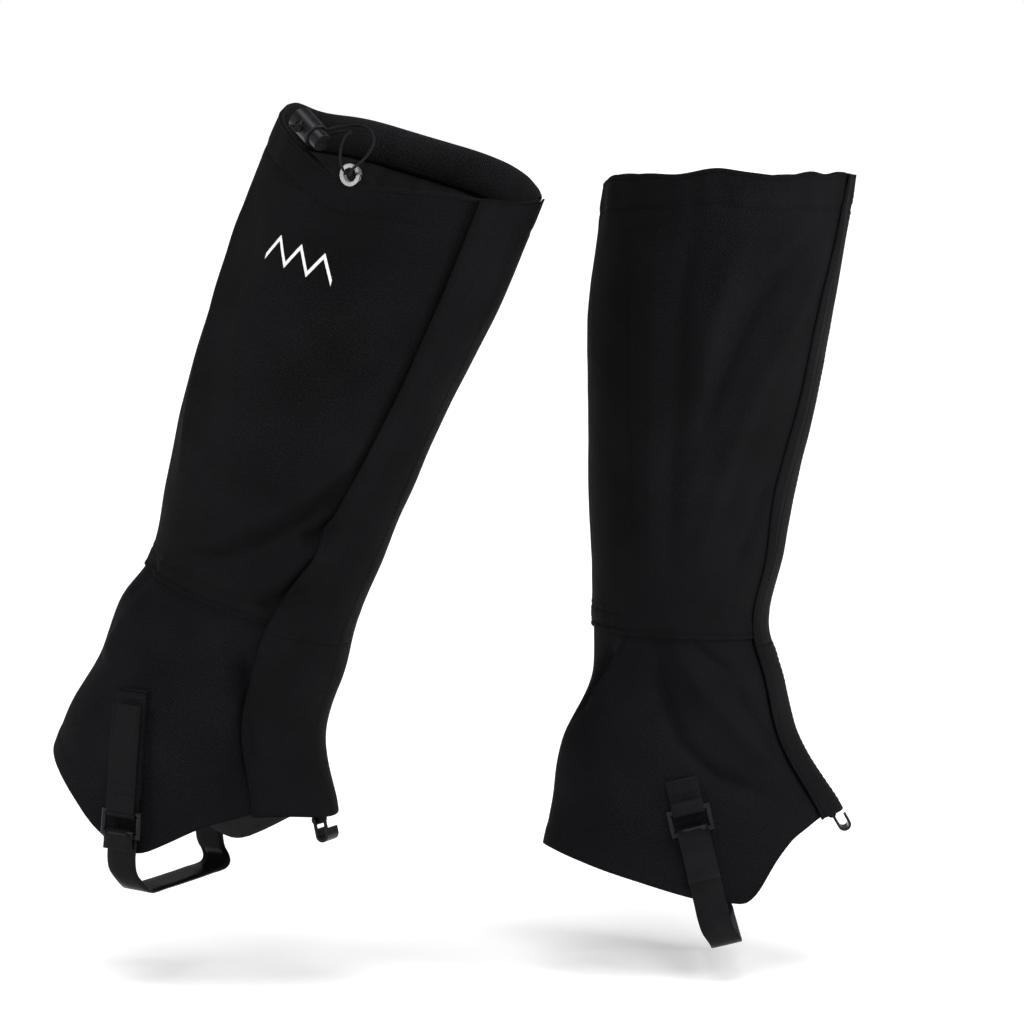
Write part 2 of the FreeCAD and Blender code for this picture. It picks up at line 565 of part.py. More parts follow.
def make_hook(prefix, place):
    """A flat wire hook on a short webbing loop at the front of the lower edge."""
    tilt = FreeCAD.Rotation(FreeCAD.Vector(0, 1, 0), -size("hook_slope"))
    hook_place = place * FreeCAD.Placement(FreeCAD.Vector(size("hook_x"), 0, size("hook_z")), tilt)
    top_z = -size("hook_drop")
    bar_z = top_z - size("hook_bar") / 2
    plate = box("plate", "-{hook_plate} / 2", "-{hook_wide} / 2", "-{hook_drop} - {hook_long}",
                "{hook_plate}", "{hook_wide}", "{hook_long}")
    slot = box("slot", -PAST / 2, "-{tab_wide} / 2 - {slot_play}",
               "-{hook_drop} - {hook_bar} - {hook_slot}", PAST, "{tab_wide} + 2 * {slot_play}", "{hook_slot}")
    curl_z = top_z - size("hook_long")
    across = (0, 1, 0)
    curl_at = (size("hook_curl") + size("hook_plate") / 2, -size("hook_wide") / 2, curl_z)
    curl_out = rod("curl_out", "{hook_curl} + {hook_plate}", "{hook_wide}", across, curl_at)
    curl_in = rod("curl_in", "{hook_curl}", "{hook_wide}", across, curl_at)
    lower_half = box("curl_half", -PAST, -PAST, curl_z - PAST, 2 * PAST, 2 * PAST, PAST)
    curl = cut("curl", common("curl_ring", curl_out, lower_half), curl_in)
    tip = box("tip", "2 * {hook_curl} + {hook_plate} / 2", "-{hook_wide} / 2", curl_z,
              "{hook_plate}", "{hook_wide}", "{hook_tip}")
    body = cut("hook", fuse("hook_solid", plate, curl, tip), slot)
    node(body, prefix + "lace_hook", hook_place)

    loop_at = (0, -size("tab_wide") / 2, bar_z)
    loop_out = rod("loop_out", "{tab_loop} + {tab_cloth}", "{tab_wide}", across, loop_at)
    loop_in = rod("loop_in", "{tab_loop}", "{tab_wide}", across, loop_at)
    leg = box("leg", "{tab_loop}", "-{tab_wide} / 2", bar_z, "{tab_cloth}", "{tab_wide}",
              "{tab_high} - (%s)" % bar_z)
    node(cut("tab", fuse("tab_solid", loop_out, leg), loop_in), prefix + "lace_hook_tab", hook_place)


def make_gaiter(name, facts):
    """Every piece of one gaiter."""
    prefix = name + "_"
    side = facts["side"]
    place = facts["place"]
    make_shell(prefix, side, place)
    make_front(prefix, side, place)
    make_eyelet(prefix, side, place)
    make_drawcord(prefix, side, place, facts["pose"])
    tilt = FreeCAD.Rotation(FreeCAD.Vector(0, 1, 0), -STRAP_TILT)
    strap_place = place * FreeCAD.Placement(FreeCAD.Vector(facts["strap_x"], 0, 0), tilt)
    make_straps(prefix, side, strap_place)
    make_hook(prefix, place)


for name, facts in GAITERS.items():
    make_gaiter(name, facts)
doc.recompute()

bad = [item.Name for item in doc.Objects if "Invalid" in item.State or "Error" in item.State]
if bad:
    raise SystemExit("failed objects: %s" % bad)

os.makedirs("parts", exist_ok=True)
for item in nodes:
    shape = item.Shape
    if shape.isNull() or not shape.isValid() or not shape.Solids:
        raise SystemExit("bad shape: %s" % item.Label)
    shape.exportStep("parts/%s.step" % item.Label)
    print("%-32s %d solid, %9.1f mm3" % (item.Label, len(shape.Solids), shape.Volume))
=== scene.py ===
import math

import bpy
import numpy as np
from mathutils import Matrix, Vector


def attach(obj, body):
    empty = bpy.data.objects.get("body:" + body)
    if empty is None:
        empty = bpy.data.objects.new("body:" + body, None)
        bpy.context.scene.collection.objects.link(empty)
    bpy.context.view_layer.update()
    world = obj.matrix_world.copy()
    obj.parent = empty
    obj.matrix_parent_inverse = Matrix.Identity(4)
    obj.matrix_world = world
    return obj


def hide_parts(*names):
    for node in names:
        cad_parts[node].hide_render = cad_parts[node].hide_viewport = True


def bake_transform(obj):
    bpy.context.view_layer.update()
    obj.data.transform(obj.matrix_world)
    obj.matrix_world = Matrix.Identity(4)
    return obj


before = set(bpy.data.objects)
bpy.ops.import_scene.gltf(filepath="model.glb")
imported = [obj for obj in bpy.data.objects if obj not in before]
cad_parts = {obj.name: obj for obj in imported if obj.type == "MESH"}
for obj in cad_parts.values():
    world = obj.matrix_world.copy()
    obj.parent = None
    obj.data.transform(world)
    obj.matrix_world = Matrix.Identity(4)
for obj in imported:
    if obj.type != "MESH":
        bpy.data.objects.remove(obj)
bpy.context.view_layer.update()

# A pair of knee-high gaiters. Each one is drawn in its own frame, in millimetres: x to the toe,
# "out" away from the other leg, z up the leg, with the origin under the arch of the boot.
# The tables below were typed in. Where the picture shows an outline or a fold, its points were
# picked and turned into rounded millimetres through the fitted camera. The rest is guessed.

MM = 0.001
UV = "cloth"

# ---------------------------------------------------------------- sizes, in millimetres

# cross-sections of each leg tube from the sole up: height, centre, half length, half width
LEFT_SECTIONS = np.array([
    (8, -7, 112, 50), (80, -14.5, 90.5, 52), (123, -24.5, 74.5, 52), (163, -21, 60, 52),
    (190, -25, 55.5, 53), (240, -21, 59.5, 57.5), (290, -17.5, 64, 62), (336, -12, 69.5, 67),
    (400, -5.5, 75, 71), (475, 4.5, 77, 74), (500, 8, 77, 75)], dtype=float)
RIGHT_SECTIONS = np.array([
    (8, -7, 112, 50), (80, -18.5, 94.5, 52), (123, -23.5, 77, 52), (163, -22, 74.5, 52),
    (190, -17.5, 68, 53), (240, -15.5, 71, 57.5), (290, -13.5, 75.5, 62), (336, -10.5, 78.5, 67),
    (400, -3, 83.5, 71), (475, 6, 83, 74), (500, 9, 83, 75)], dtype=float)
# the lower edge of each gaiter in side view, from the heel to the toe: x, height
LEFT_EDGE = [(-125, 62), (-111, 56), (-84, 46), (-51, 36), (-26, 29), (8, 25), (16, 42), (32, 64),
             (56, 77), (75, 80), (110, 81)]
RIGHT_EDGE = [(-125, 60), (-109, 52), (-75, 39), (-51, 28), (-31, 22), (-12, 22), (6, 38), (23, 55),
              (38, 66), (51, 76), (71, 83), (110, 84)]
# the flap: height, distance of its free edge and of its seam from the middle of the front
EDGE = 1
SEAM = 2
FLAP_LINES = np.array([
    (60, 38, 21), (80, 39, 22), (120, 41, 28), (155, 42, 31), (185, 43, 31), (230, 40, 33),
    (270, 38, 36), (340, 36, 38), (400, 39, 37), (440, 40, 31), (475, 41, 27.5)], dtype=float)

# heights up the leg
RIM = 475.0
HEM_STITCH = 455.0
ELASTIC_Z = 458.0
LAP_HIGH = 200.0
LAP_STITCH = 191.0
LAP_LOW = 188.0
ANKLE_JOIN = 184.0
MID_FOOT = 120.0
# distances from the middle of the front
HINGE_OUT = -27.0
SLIT_OUT = -22.5
TAPE_OUT = -10.0
TAPE_INSET = 5.0
# the cloth: thickness, how far the flap and the lower panel stand off or in, the weave's radius
CLOTH = 1.0
FLAP_CLOTH = 1.3
FLAP_OFF = 1.9
ROOT_OFF = 1.35
LOWER_LIFT = -1.1
CLOTH_RADIUS = 66.0
GRID = 2.6
# how strongly the cloth is worked: folds, gathers over the elastic, puckers and sewn grooves
FOLD_DEPTH = 2.0
RIM_CALM = 0.75
GATHER_DEPTH = 0.5
PUCKER_DEPTH = 0.16
HEM_GROOVE = 0.55
HEM_GROOVE_WIDE = 1.6
LAP_GROOVE = 0.6
LAP_GROOVE_WIDE = 1.2
FLAT_AT_EYELET = 11.0
# straps, rings and eyelet
STRAP_TILT = 13.5
STRAP_WIDE = 20.0
RING_OUT = 56.3
OUTER_RING_Z = 48.0
OUTER_BAR_Z = 34.0
INNER_RING_Z = 89.0
INNER_BAR_Z = 75.0
EYELET = (8.0, 73.5, 467.0)

RIGHT_PLACE = (Matrix.Translation((-329.6, -36.7, 35.4))
               @ Matrix.Rotation(math.radians(16.6), 4, "Y")
               @ Matrix.Rotation(math.radians(7.4), 4, "X")
               @ Matrix.Rotation(math.radians(-24.5), 4, "Z"))

# Folds: which side of the leg (1 outer, -1 inner), the line (x, z), half width, height.
LEFT_FOLDS = [
    (-1, [(60, 444), (38, 420), (20, 398), (8, 376), (-3, 352), (-13, 325), (-21, 298)], 8, -2.8),
    (-1, [(20, 448), (2, 420), (-10, 376), (-14, 326), (-18, 280)], 10, 1.9),
    (-1, [(58, 420), (40, 386), (20, 350), (4, 310), (-8, 270), (-16, 235)], 10, 1.8),
    (-1, [(-20, 452), (-27, 400), (-29, 340), (-32, 280), (-34, 225)], 8, -1.7),
    (-1, [(-42, 450), (-46, 380), (-46, 300), (-46, 225)], 8, 1.0),
    (-1, [(-57, 468), (-60, 400), (-60, 340), (-57, 240)], 5, -1.0),
    (-1, [(30, 290), (22, 262), (8, 236)], 6, -1.8),
    (-1, [(-66, 181), (-78, 160), (-92, 137)], 5, -2.6),
    (-1, [(-52, 194), (-66, 172), (-84, 146)], 5, 2.0),
    (-1, [(-42, 186), (-38, 160), (-26, 128), (-4, 106), (34, 90)], 6, -2.4),
    (-1, [(-34, 188), (-12, 158), (14, 128), (43, 104)], 9, 2.2),
    (-1, [(-20, 188), (-8, 178), (8, 168)], 4, -1.8),
    (-1, [(8, 160), (20, 140), (38, 118)], 5, -1.5),
    (-1, [(-70, 110), (-66, 86), (-64, 62)], 12, 1.2),
    (1, [(40, 440), (10, 380), (-20, 320)], 14, 2.4),
    (1, [(50, 320), (20, 280), (-14, 240)], 10, -2.4),
    (1, [(-66, 178), (-78, 158), (-92, 136)], 5, -3.0),
    (1, [(34, 180), (10, 150), (-10, 122)], 10, 2.4),
    (1, [(-20, 176), (-34, 140), (-44, 104)], 9, -2.0),
]
RIGHT_FOLDS = [
    (1, [(49, 316), (30, 284), (2, 250), (-24, 220)], 7, 2.6),
    (1, [(47, 296), (28, 262), (6, 240), (-18, 222), (-40, 212)], 5, -2.9),
    (1, [(43, 252), (34, 236), (20, 219), (0, 208), (-22, 204)], 6, 3.0),
    (1, [(44, 262), (36, 250), (28, 246)], 5, -2.8),
    (1, [(38, 222), (26, 206), (12, 199)], 5, -2.2),
    (1, [(50, 440), (36, 410), (14, 380), (-4, 352)], 13, 1.8),
    (1, [(62, 400), (44, 360), (28, 330)], 11, -1.8),
    (1, [(-66, 440), (-70, 380), (-68, 320), (-60, 250)], 8, 1.6),
    (1, [(-50, 430), (-54, 350), (-50, 270)], 12, -1.4),
    (1, [(-62, 200), (-70, 184), (-80, 168)], 6, -1.6),
    (1, [(-62, 172), (-76, 150), (-84, 122)], 9, 1.4),
    (1, [(14, 168), (20, 146), (30, 118), (42, 92)], 6, -3.4),
    (1, [(2, 170), (6, 140), (14, 108), (24, 78)], 8, 1.8),
    (1, [(-20, 182), (-26, 150), (-38, 118)], 11, -1.6),
    (1, [(-50, 150), (-46, 110), (-44, 70)], 12, 1.4),
    (-1, [(40, 440), (20, 380), (-14, 330)], 14, 2.2),
    (-1, [(30, 290), (0, 250), (-26, 220)], 9, -2.6),
    (-1, [(-66, 178), (-78, 158), (-92, 136)], 5, -3.0),
    (-1, [(20, 176), (0, 140), (-14, 110)], 10, 2.2),
]
# Rim waves: angle round the leg from the front, outwards, in degrees; half width; height.
LEFT_RIM = [(180, 20, -5.0), (-160, 10, 1.5), (-150, 14, -1.0), (-118, 9, -1.2), (-98, 10, 2.4),
            (-68, 12, -2.0), (-52, 7, 1.2), (-42, 6, -1.0), (-30, 10, 1.0), (60, 16, 1.8),
            (100, 14, -1.6), (140, 16, 1.6), (-90, 60, 2.0), (90, 60, -4.0)]
RIGHT_RIM = [(176, 20, 7.5), (150, 14, 2.0), (116, 12, -2.0), (92, 12, -4.5), (60, 16, -1.5),
             (36, 8, -1.0), (86, 26, -10.0), (-60, 24, 2.0), (-105, 18, -1.0), (-140, 16, 1.4),
             (-95, 60, 7.0)]
# Slow unevenness over the whole cloth: wavelength, height, number of waves.
WAVES = [(150, 1.1, 6), (80, 0.55, 8), (42, 0.24, 10), (24, 0.1, 10)]

# The drawcord outside the eyelet, (x, out, z): the routes of the part's own design.
DRAWCORDS = {
    "left": {
        "centre": (8.0, 84.55, 436.0), "through": (0.0, 0.0, -1.0),
        "strand_a": [(6.95, 70.6, 467), (6.95, 79.5, 467), (7.2, 85.3, 462), (8, 85.6, 452.5),
                     (8, 85.6, 427.3)],
        "strand_b": [(9.05, 70.6, 467), (9.05, 77.6, 466.4), (8.8, 82.7, 461), (8, 83.5, 451.5),
                     (8, 83.5, 427.3)],
        "length_a": 46.0, "length_b": 43.5,
    },
    "right": {
        "centre": (-24.0, 76.0, 484.0), "through": (-0.316, 0.949, 0.0),
        "strand_a": [(6.95, 70.6, 467), (6.95, 79, 467), (4, 84, 474), (-1, 78, 482), (-6, 66, 487),
                     (-8.5, 54, 487.5), (-14.5, 47, 486), (-20.3, 51.5, 484), (-20.21, 63.55, 483.01),
                     (-27.07, 84.14, 483.01)],
        "strand_b": [(9.05, 70.6, 467), (9.05, 79, 467), (13.5, 84, 473), (18, 80, 481), (15.5, 70, 489),
                     (7, 60, 493), (-4, 51, 493), (-13, 43, 490.5), (-20, 43.5, 487.5),
                     (-20.9, 54, 486.2), (-19.57, 63.77, 484.99), (-26.43, 84.36, 484.99)],
        "length_a": 95.0, "length_b": 119.0,
    },
}
CORD_WIDE = 1.6
ELASTIC_WIDE = 1.6
KNOT_OUT = 10.9
KNOT_CORD = 1.15
KNOT_SIZE = 0.62


# ---------------------------------------------------------------- the worn shape

def smooth_step(value, low, high):
    """0 at low and before it, 1 at high and past it, softly between; low may be the larger one."""
    part = np.clip((value - low) / (high - low), 0.0, 1.0)
    return part * part * (3.0 - 2.0 * part)


def bell(value, middle, wide):
    """1 at the middle, fading to 0 on both sides."""
    return np.exp(-((value - middle) / wide) ** 2)


def through(stations, values, at):
    """Values between the stations, on one smooth curve."""
    slopes = np.gradient(values, stations)
    at = np.asarray(at, dtype=float)
    low = np.clip(np.searchsorted(stations, at) - 1, 0, len(stations) - 2)
    gap = stations[low + 1] - stations[low]
    part = np.clip((at - stations[low]) / gap, 0.0, 1.0)
    square = part * part
    cube = square * part
    return ((2 * cube - 3 * square + 1) * values[low] + (cube - 2 * square + part) * gap * slopes[low]
            + (3 * square - 2 * cube) * values[low + 1] + (cube - square) * gap * slopes[low + 1])


def section(sections, z):
    """Centre, half length and half width of a leg tube at a height."""
    return tuple(through(sections[:, 0], sections[:, column], z) for column in (1, 2, 3))


def half_width(z):
    """Half width of either leg tube at a height."""
    return through(LEFT_SECTIONS[:, 0], LEFT_SECTIONS[:, 3], z)


def flap_line(z, column):
    """How far the flap's free edge or its seam is from the middle of the front."""
    return through(FLAP_LINES[:, 0], FLAP_LINES[:, column], z)


def base_points(sections, theta, z):
    """Points on the plain tube, and its horizontal normals."""
    centre, long, wide = section(sections, z)
    points = np.stack([centre + long * np.cos(theta), wide * np.sin(theta), z + 0 * theta], axis=-1)
    normals = np.stack([np.cos(theta) / long, np.sin(theta) / wide, 0 * theta], axis=-1)
    return points, normals / np.linalg.norm(normals, axis=-1, keepdims=True)


def side_angle(sections, hand, x, z):
    """The angle round the leg of a point seen from the side."""
    centre, long, _ = section(sections, z)
    return hand * np.arccos(np.clip((x - centre) / long, -0.999, 0.999))


def front_angle(out, z):
    """The angle round the leg of a point seen from the front."""
    return np.arcsin(np.clip(out / half_width(z), -0.99, 0.99))


class Gaiter:
    """One gaiter's place, folds and rim."""

    def __init__(self, name, side, place, sections, folds, rim, edge, seam_rise, strap_x, seed):
        self.name = name
        self.side = side
        self.place = np.array(place, dtype=float)
        self.sections = sections
        self.rim = rim
        self.edge = np.array(edge, dtype=float)
        self.seam_rise = seam_rise
        self.strap_x = strap_x
        self.lines = []
        for hand, line, spread_mm, height in folds:
            x, z = np.array(line, dtype=float).T
            points, _ = base_points(sections, side_angle(sections, hand, x, z), z)
            self.lines.append((points, spread_mm, height * FOLD_DEPTH))
        random = np.random.default_rng(seed)
        self.waves = []
        for length, size, count in WAVES:
            for _ in range(count):
                heading = random.normal(size=3) * (1.0, 1.0, 0.55)
                heading *= 2 * math.pi / (length * random.uniform(0.8, 1.25) * np.linalg.norm(heading))
                self.waves.append((heading, random.uniform(0, 2 * math.pi), size / math.sqrt(count)))

    def lower_edge(self, theta):
        """Height of the cut lower edge at each angle."""
        z = np.full(np.shape(theta), 60.0)
        softening = (-6, -2, 2, 6)
        for _ in range(40):
            centre, long, _ = section(self.sections, z)
            x = centre + long * np.cos(theta)
            height = sum(np.interp(x + shift, *self.edge.T) for shift in softening) / len(softening)
            z = 0.5 * z + 0.5 * height
        return z

    def folds(self, points, theta):
        """How far the cloth stands out from the plain tube at these points."""
        height = np.zeros(points.shape[:-1])
        for line, spread_mm, tall in self.lines:
            height += tall * fold_profile(points, line, spread_mm)
        for heading, phase, size in self.waves:
            height += size * np.sin(points @ heading + phase)
        z = points[..., 2]
        height *= 1.0 - RIM_CALM * smooth_step(z, RIM - 50, RIM - 10)
        arc = theta * half_width(z)
        gathers = 0.9 * np.sin(arc / 3.1 + 1.7 * np.sin(arc / 17.0)) + 0.6 * np.sin(arc / 5.3 + 2.0)
        height += GATHER_DEPTH * gathers * bell(z, HEM_STITCH + 6, 13.0)
        pucker = np.sin(arc / 1.7 + 1.3 * np.sin(arc / 9.0))
        for row in (LAP_STITCH, LAP_HIGH):
            height += PUCKER_DEPTH * pucker * bell(z, row, 4.0)
        height -= HEM_GROOVE * bell(z, HEM_STITCH, HEM_GROOVE_WIDE)
        from_eyelet = np.linalg.norm(points - EYELET, axis=-1)
        return height * (1.0 - np.exp(-(from_eyelet / FLAT_AT_EYELET) ** 4))

    def drape_shift(self, theta, z):
        """How far the gathered rim and the ankle seam ride up or down."""
        shift = np.zeros(np.shape(theta))
        angle = np.degrees(theta)
        for at, spread_degrees, tall in self.rim:
            away = (angle - at + 180.0) % 360.0 - 180.0
            shift += tall * bell(away, 0.0, spread_degrees)
        low, high = self.seam_rise
        rise = low + (high - low) * (0.5 - 0.5 * np.cos(theta))
        return shift * smooth_step(z, RIM - 60, RIM - 4) + rise * bell(z, LAP_HIGH, 38.0)

    def surface(self, theta, z, lift=0.0):
        """Points of the worn cloth in the row frame, in metres, and their normals."""
        theta, z, lift = np.broadcast_arrays(theta, z, lift)
        points, normals = base_points(self.sections, theta, z)
        worn = points + normals * (self.folds(points, theta) + lift)[..., None]
        worn[..., 2] += self.drape_shift(theta, z)
        return self.to_row(worn), self.turn(normals)

    def to_row(self, points):
        """Own millimetres to the row frame's metres."""
        points = np.array(points, dtype=float)
        points[..., 1] *= self.side
        return (points @ self.place[:3, :3].T + self.place[:3, 3]) * MM

    def turn(self, directions):
        """Own directions to the row frame's."""
        directions = np.array(directions, dtype=float)
        directions[..., 1] *= self.side
        return directions @ self.place[:3, :3].T

    def point(self, x, out, z):
        """One point in the row frame, as a tuple."""
        return tuple(float(value) for value in self.to_row((x, out, z)))

    def piece(self, name):
        """A body's, node's or piece's full name."""
        return self.name + "_" + name


def fold_profile(points, line, spread_mm):
    """1 on the fold's line, fading to its sides and its ends."""
    lengths = np.linalg.norm(np.diff(line, axis=0), axis=1)
    total = lengths.sum()
    nearest = np.full(points.shape[:-1], 1e9)
    along = np.zeros(points.shape[:-1])
    run = 0.0
    for start, end, length in zip(line[:-1], line[1:], lengths):
        step = end - start
        part = np.clip(((points - start) @ step) / (length * length), 0.0, 1.0)
        away = np.linalg.norm(points - start - part[..., None] * step, axis=-1)
        closer = away < nearest
        nearest = np.where(closer, away, nearest)
        along = np.where(closer, run + part * length, along)
        run += length
    fade = (-0.05 * total, 0.22 * total)
    ends = smooth_step(along, *fade) * smooth_step(total - along, *fade)
    return ends / (1.0 + (nearest / spread_mm) ** 2) ** 2


# ---------------------------------------------------------------- mesh helpers

def finished(name, vertices, faces, materials, uv=None, indices=None):
    """A smooth-shaded mesh object."""
    mesh = bpy.data.meshes.new(name)
    mesh.from_pydata([tuple(vertex) for vertex in vertices], [], [tuple(face) for face in faces])
    for material in materials:
        mesh.materials.append(material)
    if indices is not None:
        mesh.polygons.foreach_set("material_index", np.asarray(indices, dtype=np.int32))
    if uv is not None:
        layer = mesh.uv_layers.new(name=UV)
        corners = np.zeros(len(mesh.loops), dtype=np.int32)
        mesh.loops.foreach_get("vertex_index", corners)
        layer.data.foreach_set("uv", np.asarray(uv, dtype=np.float32)[corners].ravel())
    mesh.polygons.foreach_set("use_smooth", np.ones(len(mesh.polygons), dtype=bool))
    mesh.update()
    piece = bpy.data.objects.new(name, mesh)
    bpy.context.scene.collection.objects.link(piece)
    return piece


def quads(rows, columns, first, flip):
    """The faces of a grid of vertices."""
    corner = first + np.arange(rows * columns).reshape(rows, columns)
    faces = np.stack([corner[:-1, :-1], corner[:-1, 1:], corner[1:, 1:], corner[1:, :-1]], axis=-1)
    faces = faces.reshape(-1, 4)
    return faces[:, ::-1] if flip else faces


def cloth_piece(name, outer, normals, thick, uv, materials, side):
    """A sheet with its thickness: the outer face, the inner face and the edge between them."""
    rows, columns = outer.shape[:2]
    thick = np.broadcast_to(np.asarray(thick, dtype=float), (rows, columns))[..., None]
    middle = outer - normals * thick * 0.5 * MM
    inner = outer - normals * thick * MM
    count = rows * columns
    index = np.arange(count).reshape(rows, columns)
    border = np.concatenate([index[0, :], index[1:, -1], index[-1, -2::-1], index[-2:0:-1, 0]])
    around = np.arange(len(border))
    following = np.roll(around, -1)
    vertices = np.concatenate([outer.reshape(-1, 3), inner.reshape(-1, 3),
                               middle.reshape(-1, 3)[border]])
    flip = side > 0
    faces = [quads(rows, columns, 0, flip), quads(rows, columns, count, not flip)]
    edge_mid = 2 * count + around
    upper = np.stack([border, edge_mid, edge_mid[following], border[following]], axis=-1)
    lower = np.stack([edge_mid, border + count, border[following] + count, edge_mid[following]], axis=-1)
    if flip:
        upper = upper[:, ::-1]
        lower = lower[:, ::-1]
    indices = np.concatenate([np.zeros(len(faces[0])), np.ones(len(faces[1])) * (len(materials) > 1),
                              np.zeros(2 * len(border))])
    flat = uv.reshape(-1, 2)
    all_uv = np.concatenate([flat, flat, flat[border]])
    faces = np.concatenate(faces + [upper, lower])
    return finished(name, vertices, faces, materials, all_uv, indices)


def spaced(low, high, step=GRID):
    """Evenly spaced values with about this step."""
    return np.linspace(low, high, max(2, int(round(abs(high - low) / step)) + 1))


def rows_through(low, high, marks):
    """Evenly spaced heights with extra rows across each sewn groove."""
    extra = [mark + shift for mark in marks for shift in (-1.6, -0.8, 0.0, 0.8, 1.6)]
    return np.unique(np.concatenate([spaced(low, high), extra]))


def cloth_uv(theta, z):
    """Distance round the leg and height, in millimetres, for the weave."""
    return np.stack([theta * CLOTH_RADIUS, z + 0 * theta], axis=-1)


def sheet_on(gaiter, name, theta, z, lift, thick, materials):
    """A sheet of cloth over the leg from grids of angles and heights."""
    theta, z, lift = np.broadcast_arrays(theta, z, lift)
    points, normals = gaiter.surface(theta, z, lift)
    uv = cloth_uv(theta, z)
    return cloth_piece(gaiter.piece(name), points, normals, thick, uv, materials, gaiter.side)


def ring_faces(first, rings, sides, closed=False):
    """Faces between rings of vertices that follow one another."""
    faces = []
    for ring in range(rings if closed else rings - 1):
        low = first + ring * sides
        high = first + (ring + 1) % rings * sides
        for corner in range(sides):
            after = (corner + 1) % sides
            faces.append((low + corner, low + after, high + after, high + corner))
    return faces


def end_faces(first, rings, sides):
    """The faces that close the first ring and the last one."""
    last = first + (rings - 1) * sides
    return [tuple(range(first, first + sides))[::-1], tuple(range(last, last + sides))]


def run_along(path):
    """The distance from a path's start to each of its points."""
    return np.concatenate([[0], np.cumsum(np.linalg.norm(np.diff(path, axis=0), axis=1))])


def unit(vectors):
    """Rows of vectors, each made one long."""
    return vectors / np.linalg.norm(vectors, axis=1, keepdims=True)


def ribbon(gaiter, name, path, across, width, thick, material, corner=0.35):
    """A flat strap with rounded edges, swept along a path in the gaiter's own millimetres."""
    path = gaiter.to_row(path) / MM
    across = np.broadcast_to(gaiter.turn(across), path.shape)
    up = unit(np.cross(unit(np.gradient(path, axis=0)), across))
    half, deep = width / 2, thick / 2
    bevel = corner * thick
    side = [(-half + bevel, -deep), (-half * 0.5, -deep), (0, -deep), (half * 0.5, -deep),
            (half - bevel, -deep), (half, -deep + bevel), (half, deep - bevel)]
    outline = np.array(side + [(-x, -y) for x, y in side])
    rings = (path[:, None, :] + outline[None, :, :1] * across[:, None, :]
             + outline[None, :, 1:] * up[:, None, :])
    rows, count = rings.shape[:2]
    uv = np.stack(np.broadcast_arrays(outline[None, :, 0], run_along(path)[:, None]), axis=-1)
    faces = ring_faces(0, rows, count) + end_faces(0, rows, count)
    piece = finished(gaiter.piece(name), rings.reshape(-1, 3) * MM, faces, [material], uv.reshape(-1, 2))
    for end in (-1, -2):
        piece.data.polygons[len(faces) + end].use_smooth = False
    return piece


def smooth_path(points, steps=8):
    """Points on a Catmull-Rom curve through the given ones."""
    points = np.array(points, dtype=float)
    run = run_along(points)
    stretches = [np.linspace(low, high, steps, endpoint=False) for low, high in zip(run[:-1], run[1:])]
    at = np.concatenate(stretches + [run[-1:]])
    return np.stack([through(run, points[:, column], at) for column in range(points.shape[1])], axis=1)


def arc(centre, radius, start, end, steps=9):
    """Points of an arc in the strap's side view."""
    angles = np.radians(np.linspace(start, end, steps))
    return [(centre[0] + radius * math.cos(angle), centre[1] + radius * math.sin(angle)) for angle in angles]


def stitches(name, rows, pitch=3.6, long=2.7, thick=0.42):
    """Raised thread along rows of surface points."""
    rings = ((-0.5, 0.25), (-0.3, 1.0), (0.3, 1.0), (0.5, 0.25))
    sides = 6
    sunk = 0.15
    angles = np.linspace(0, 2 * math.pi, sides, endpoint=False)
    vertices = []
    faces = []
    for points, normals in rows:
        run = run_along(points)
        at = np.arange(0.5 * pitch * MM, run[-1], pitch * MM)

        def placed(values):
            return np.stack([np.interp(at, run, values[:, column]) for column in range(3)], axis=1)

        tangent = unit(placed(np.gradient(points, axis=0)))
        normal = placed(normals)
        binormal = unit(np.cross(tangent, normal))
        for place, along, up, over in zip(placed(points), tangent, normal, binormal):
            first = len(vertices)
            for step, size in rings:
                for angle in angles:
                    round_up = (sunk + size * math.sin(angle) * 0.5) * thick
                    round_over = size * math.cos(angle) * 0.5 * thick
                    vertices.append(place + (along * step * long + up * round_up + over * round_over) * MM)
            faces += ring_faces(first, len(rings), sides) + end_faces(first, len(rings), sides)
    return finished(name, vertices, faces, [THREAD])


# ---------------------------------------------------------------- materials

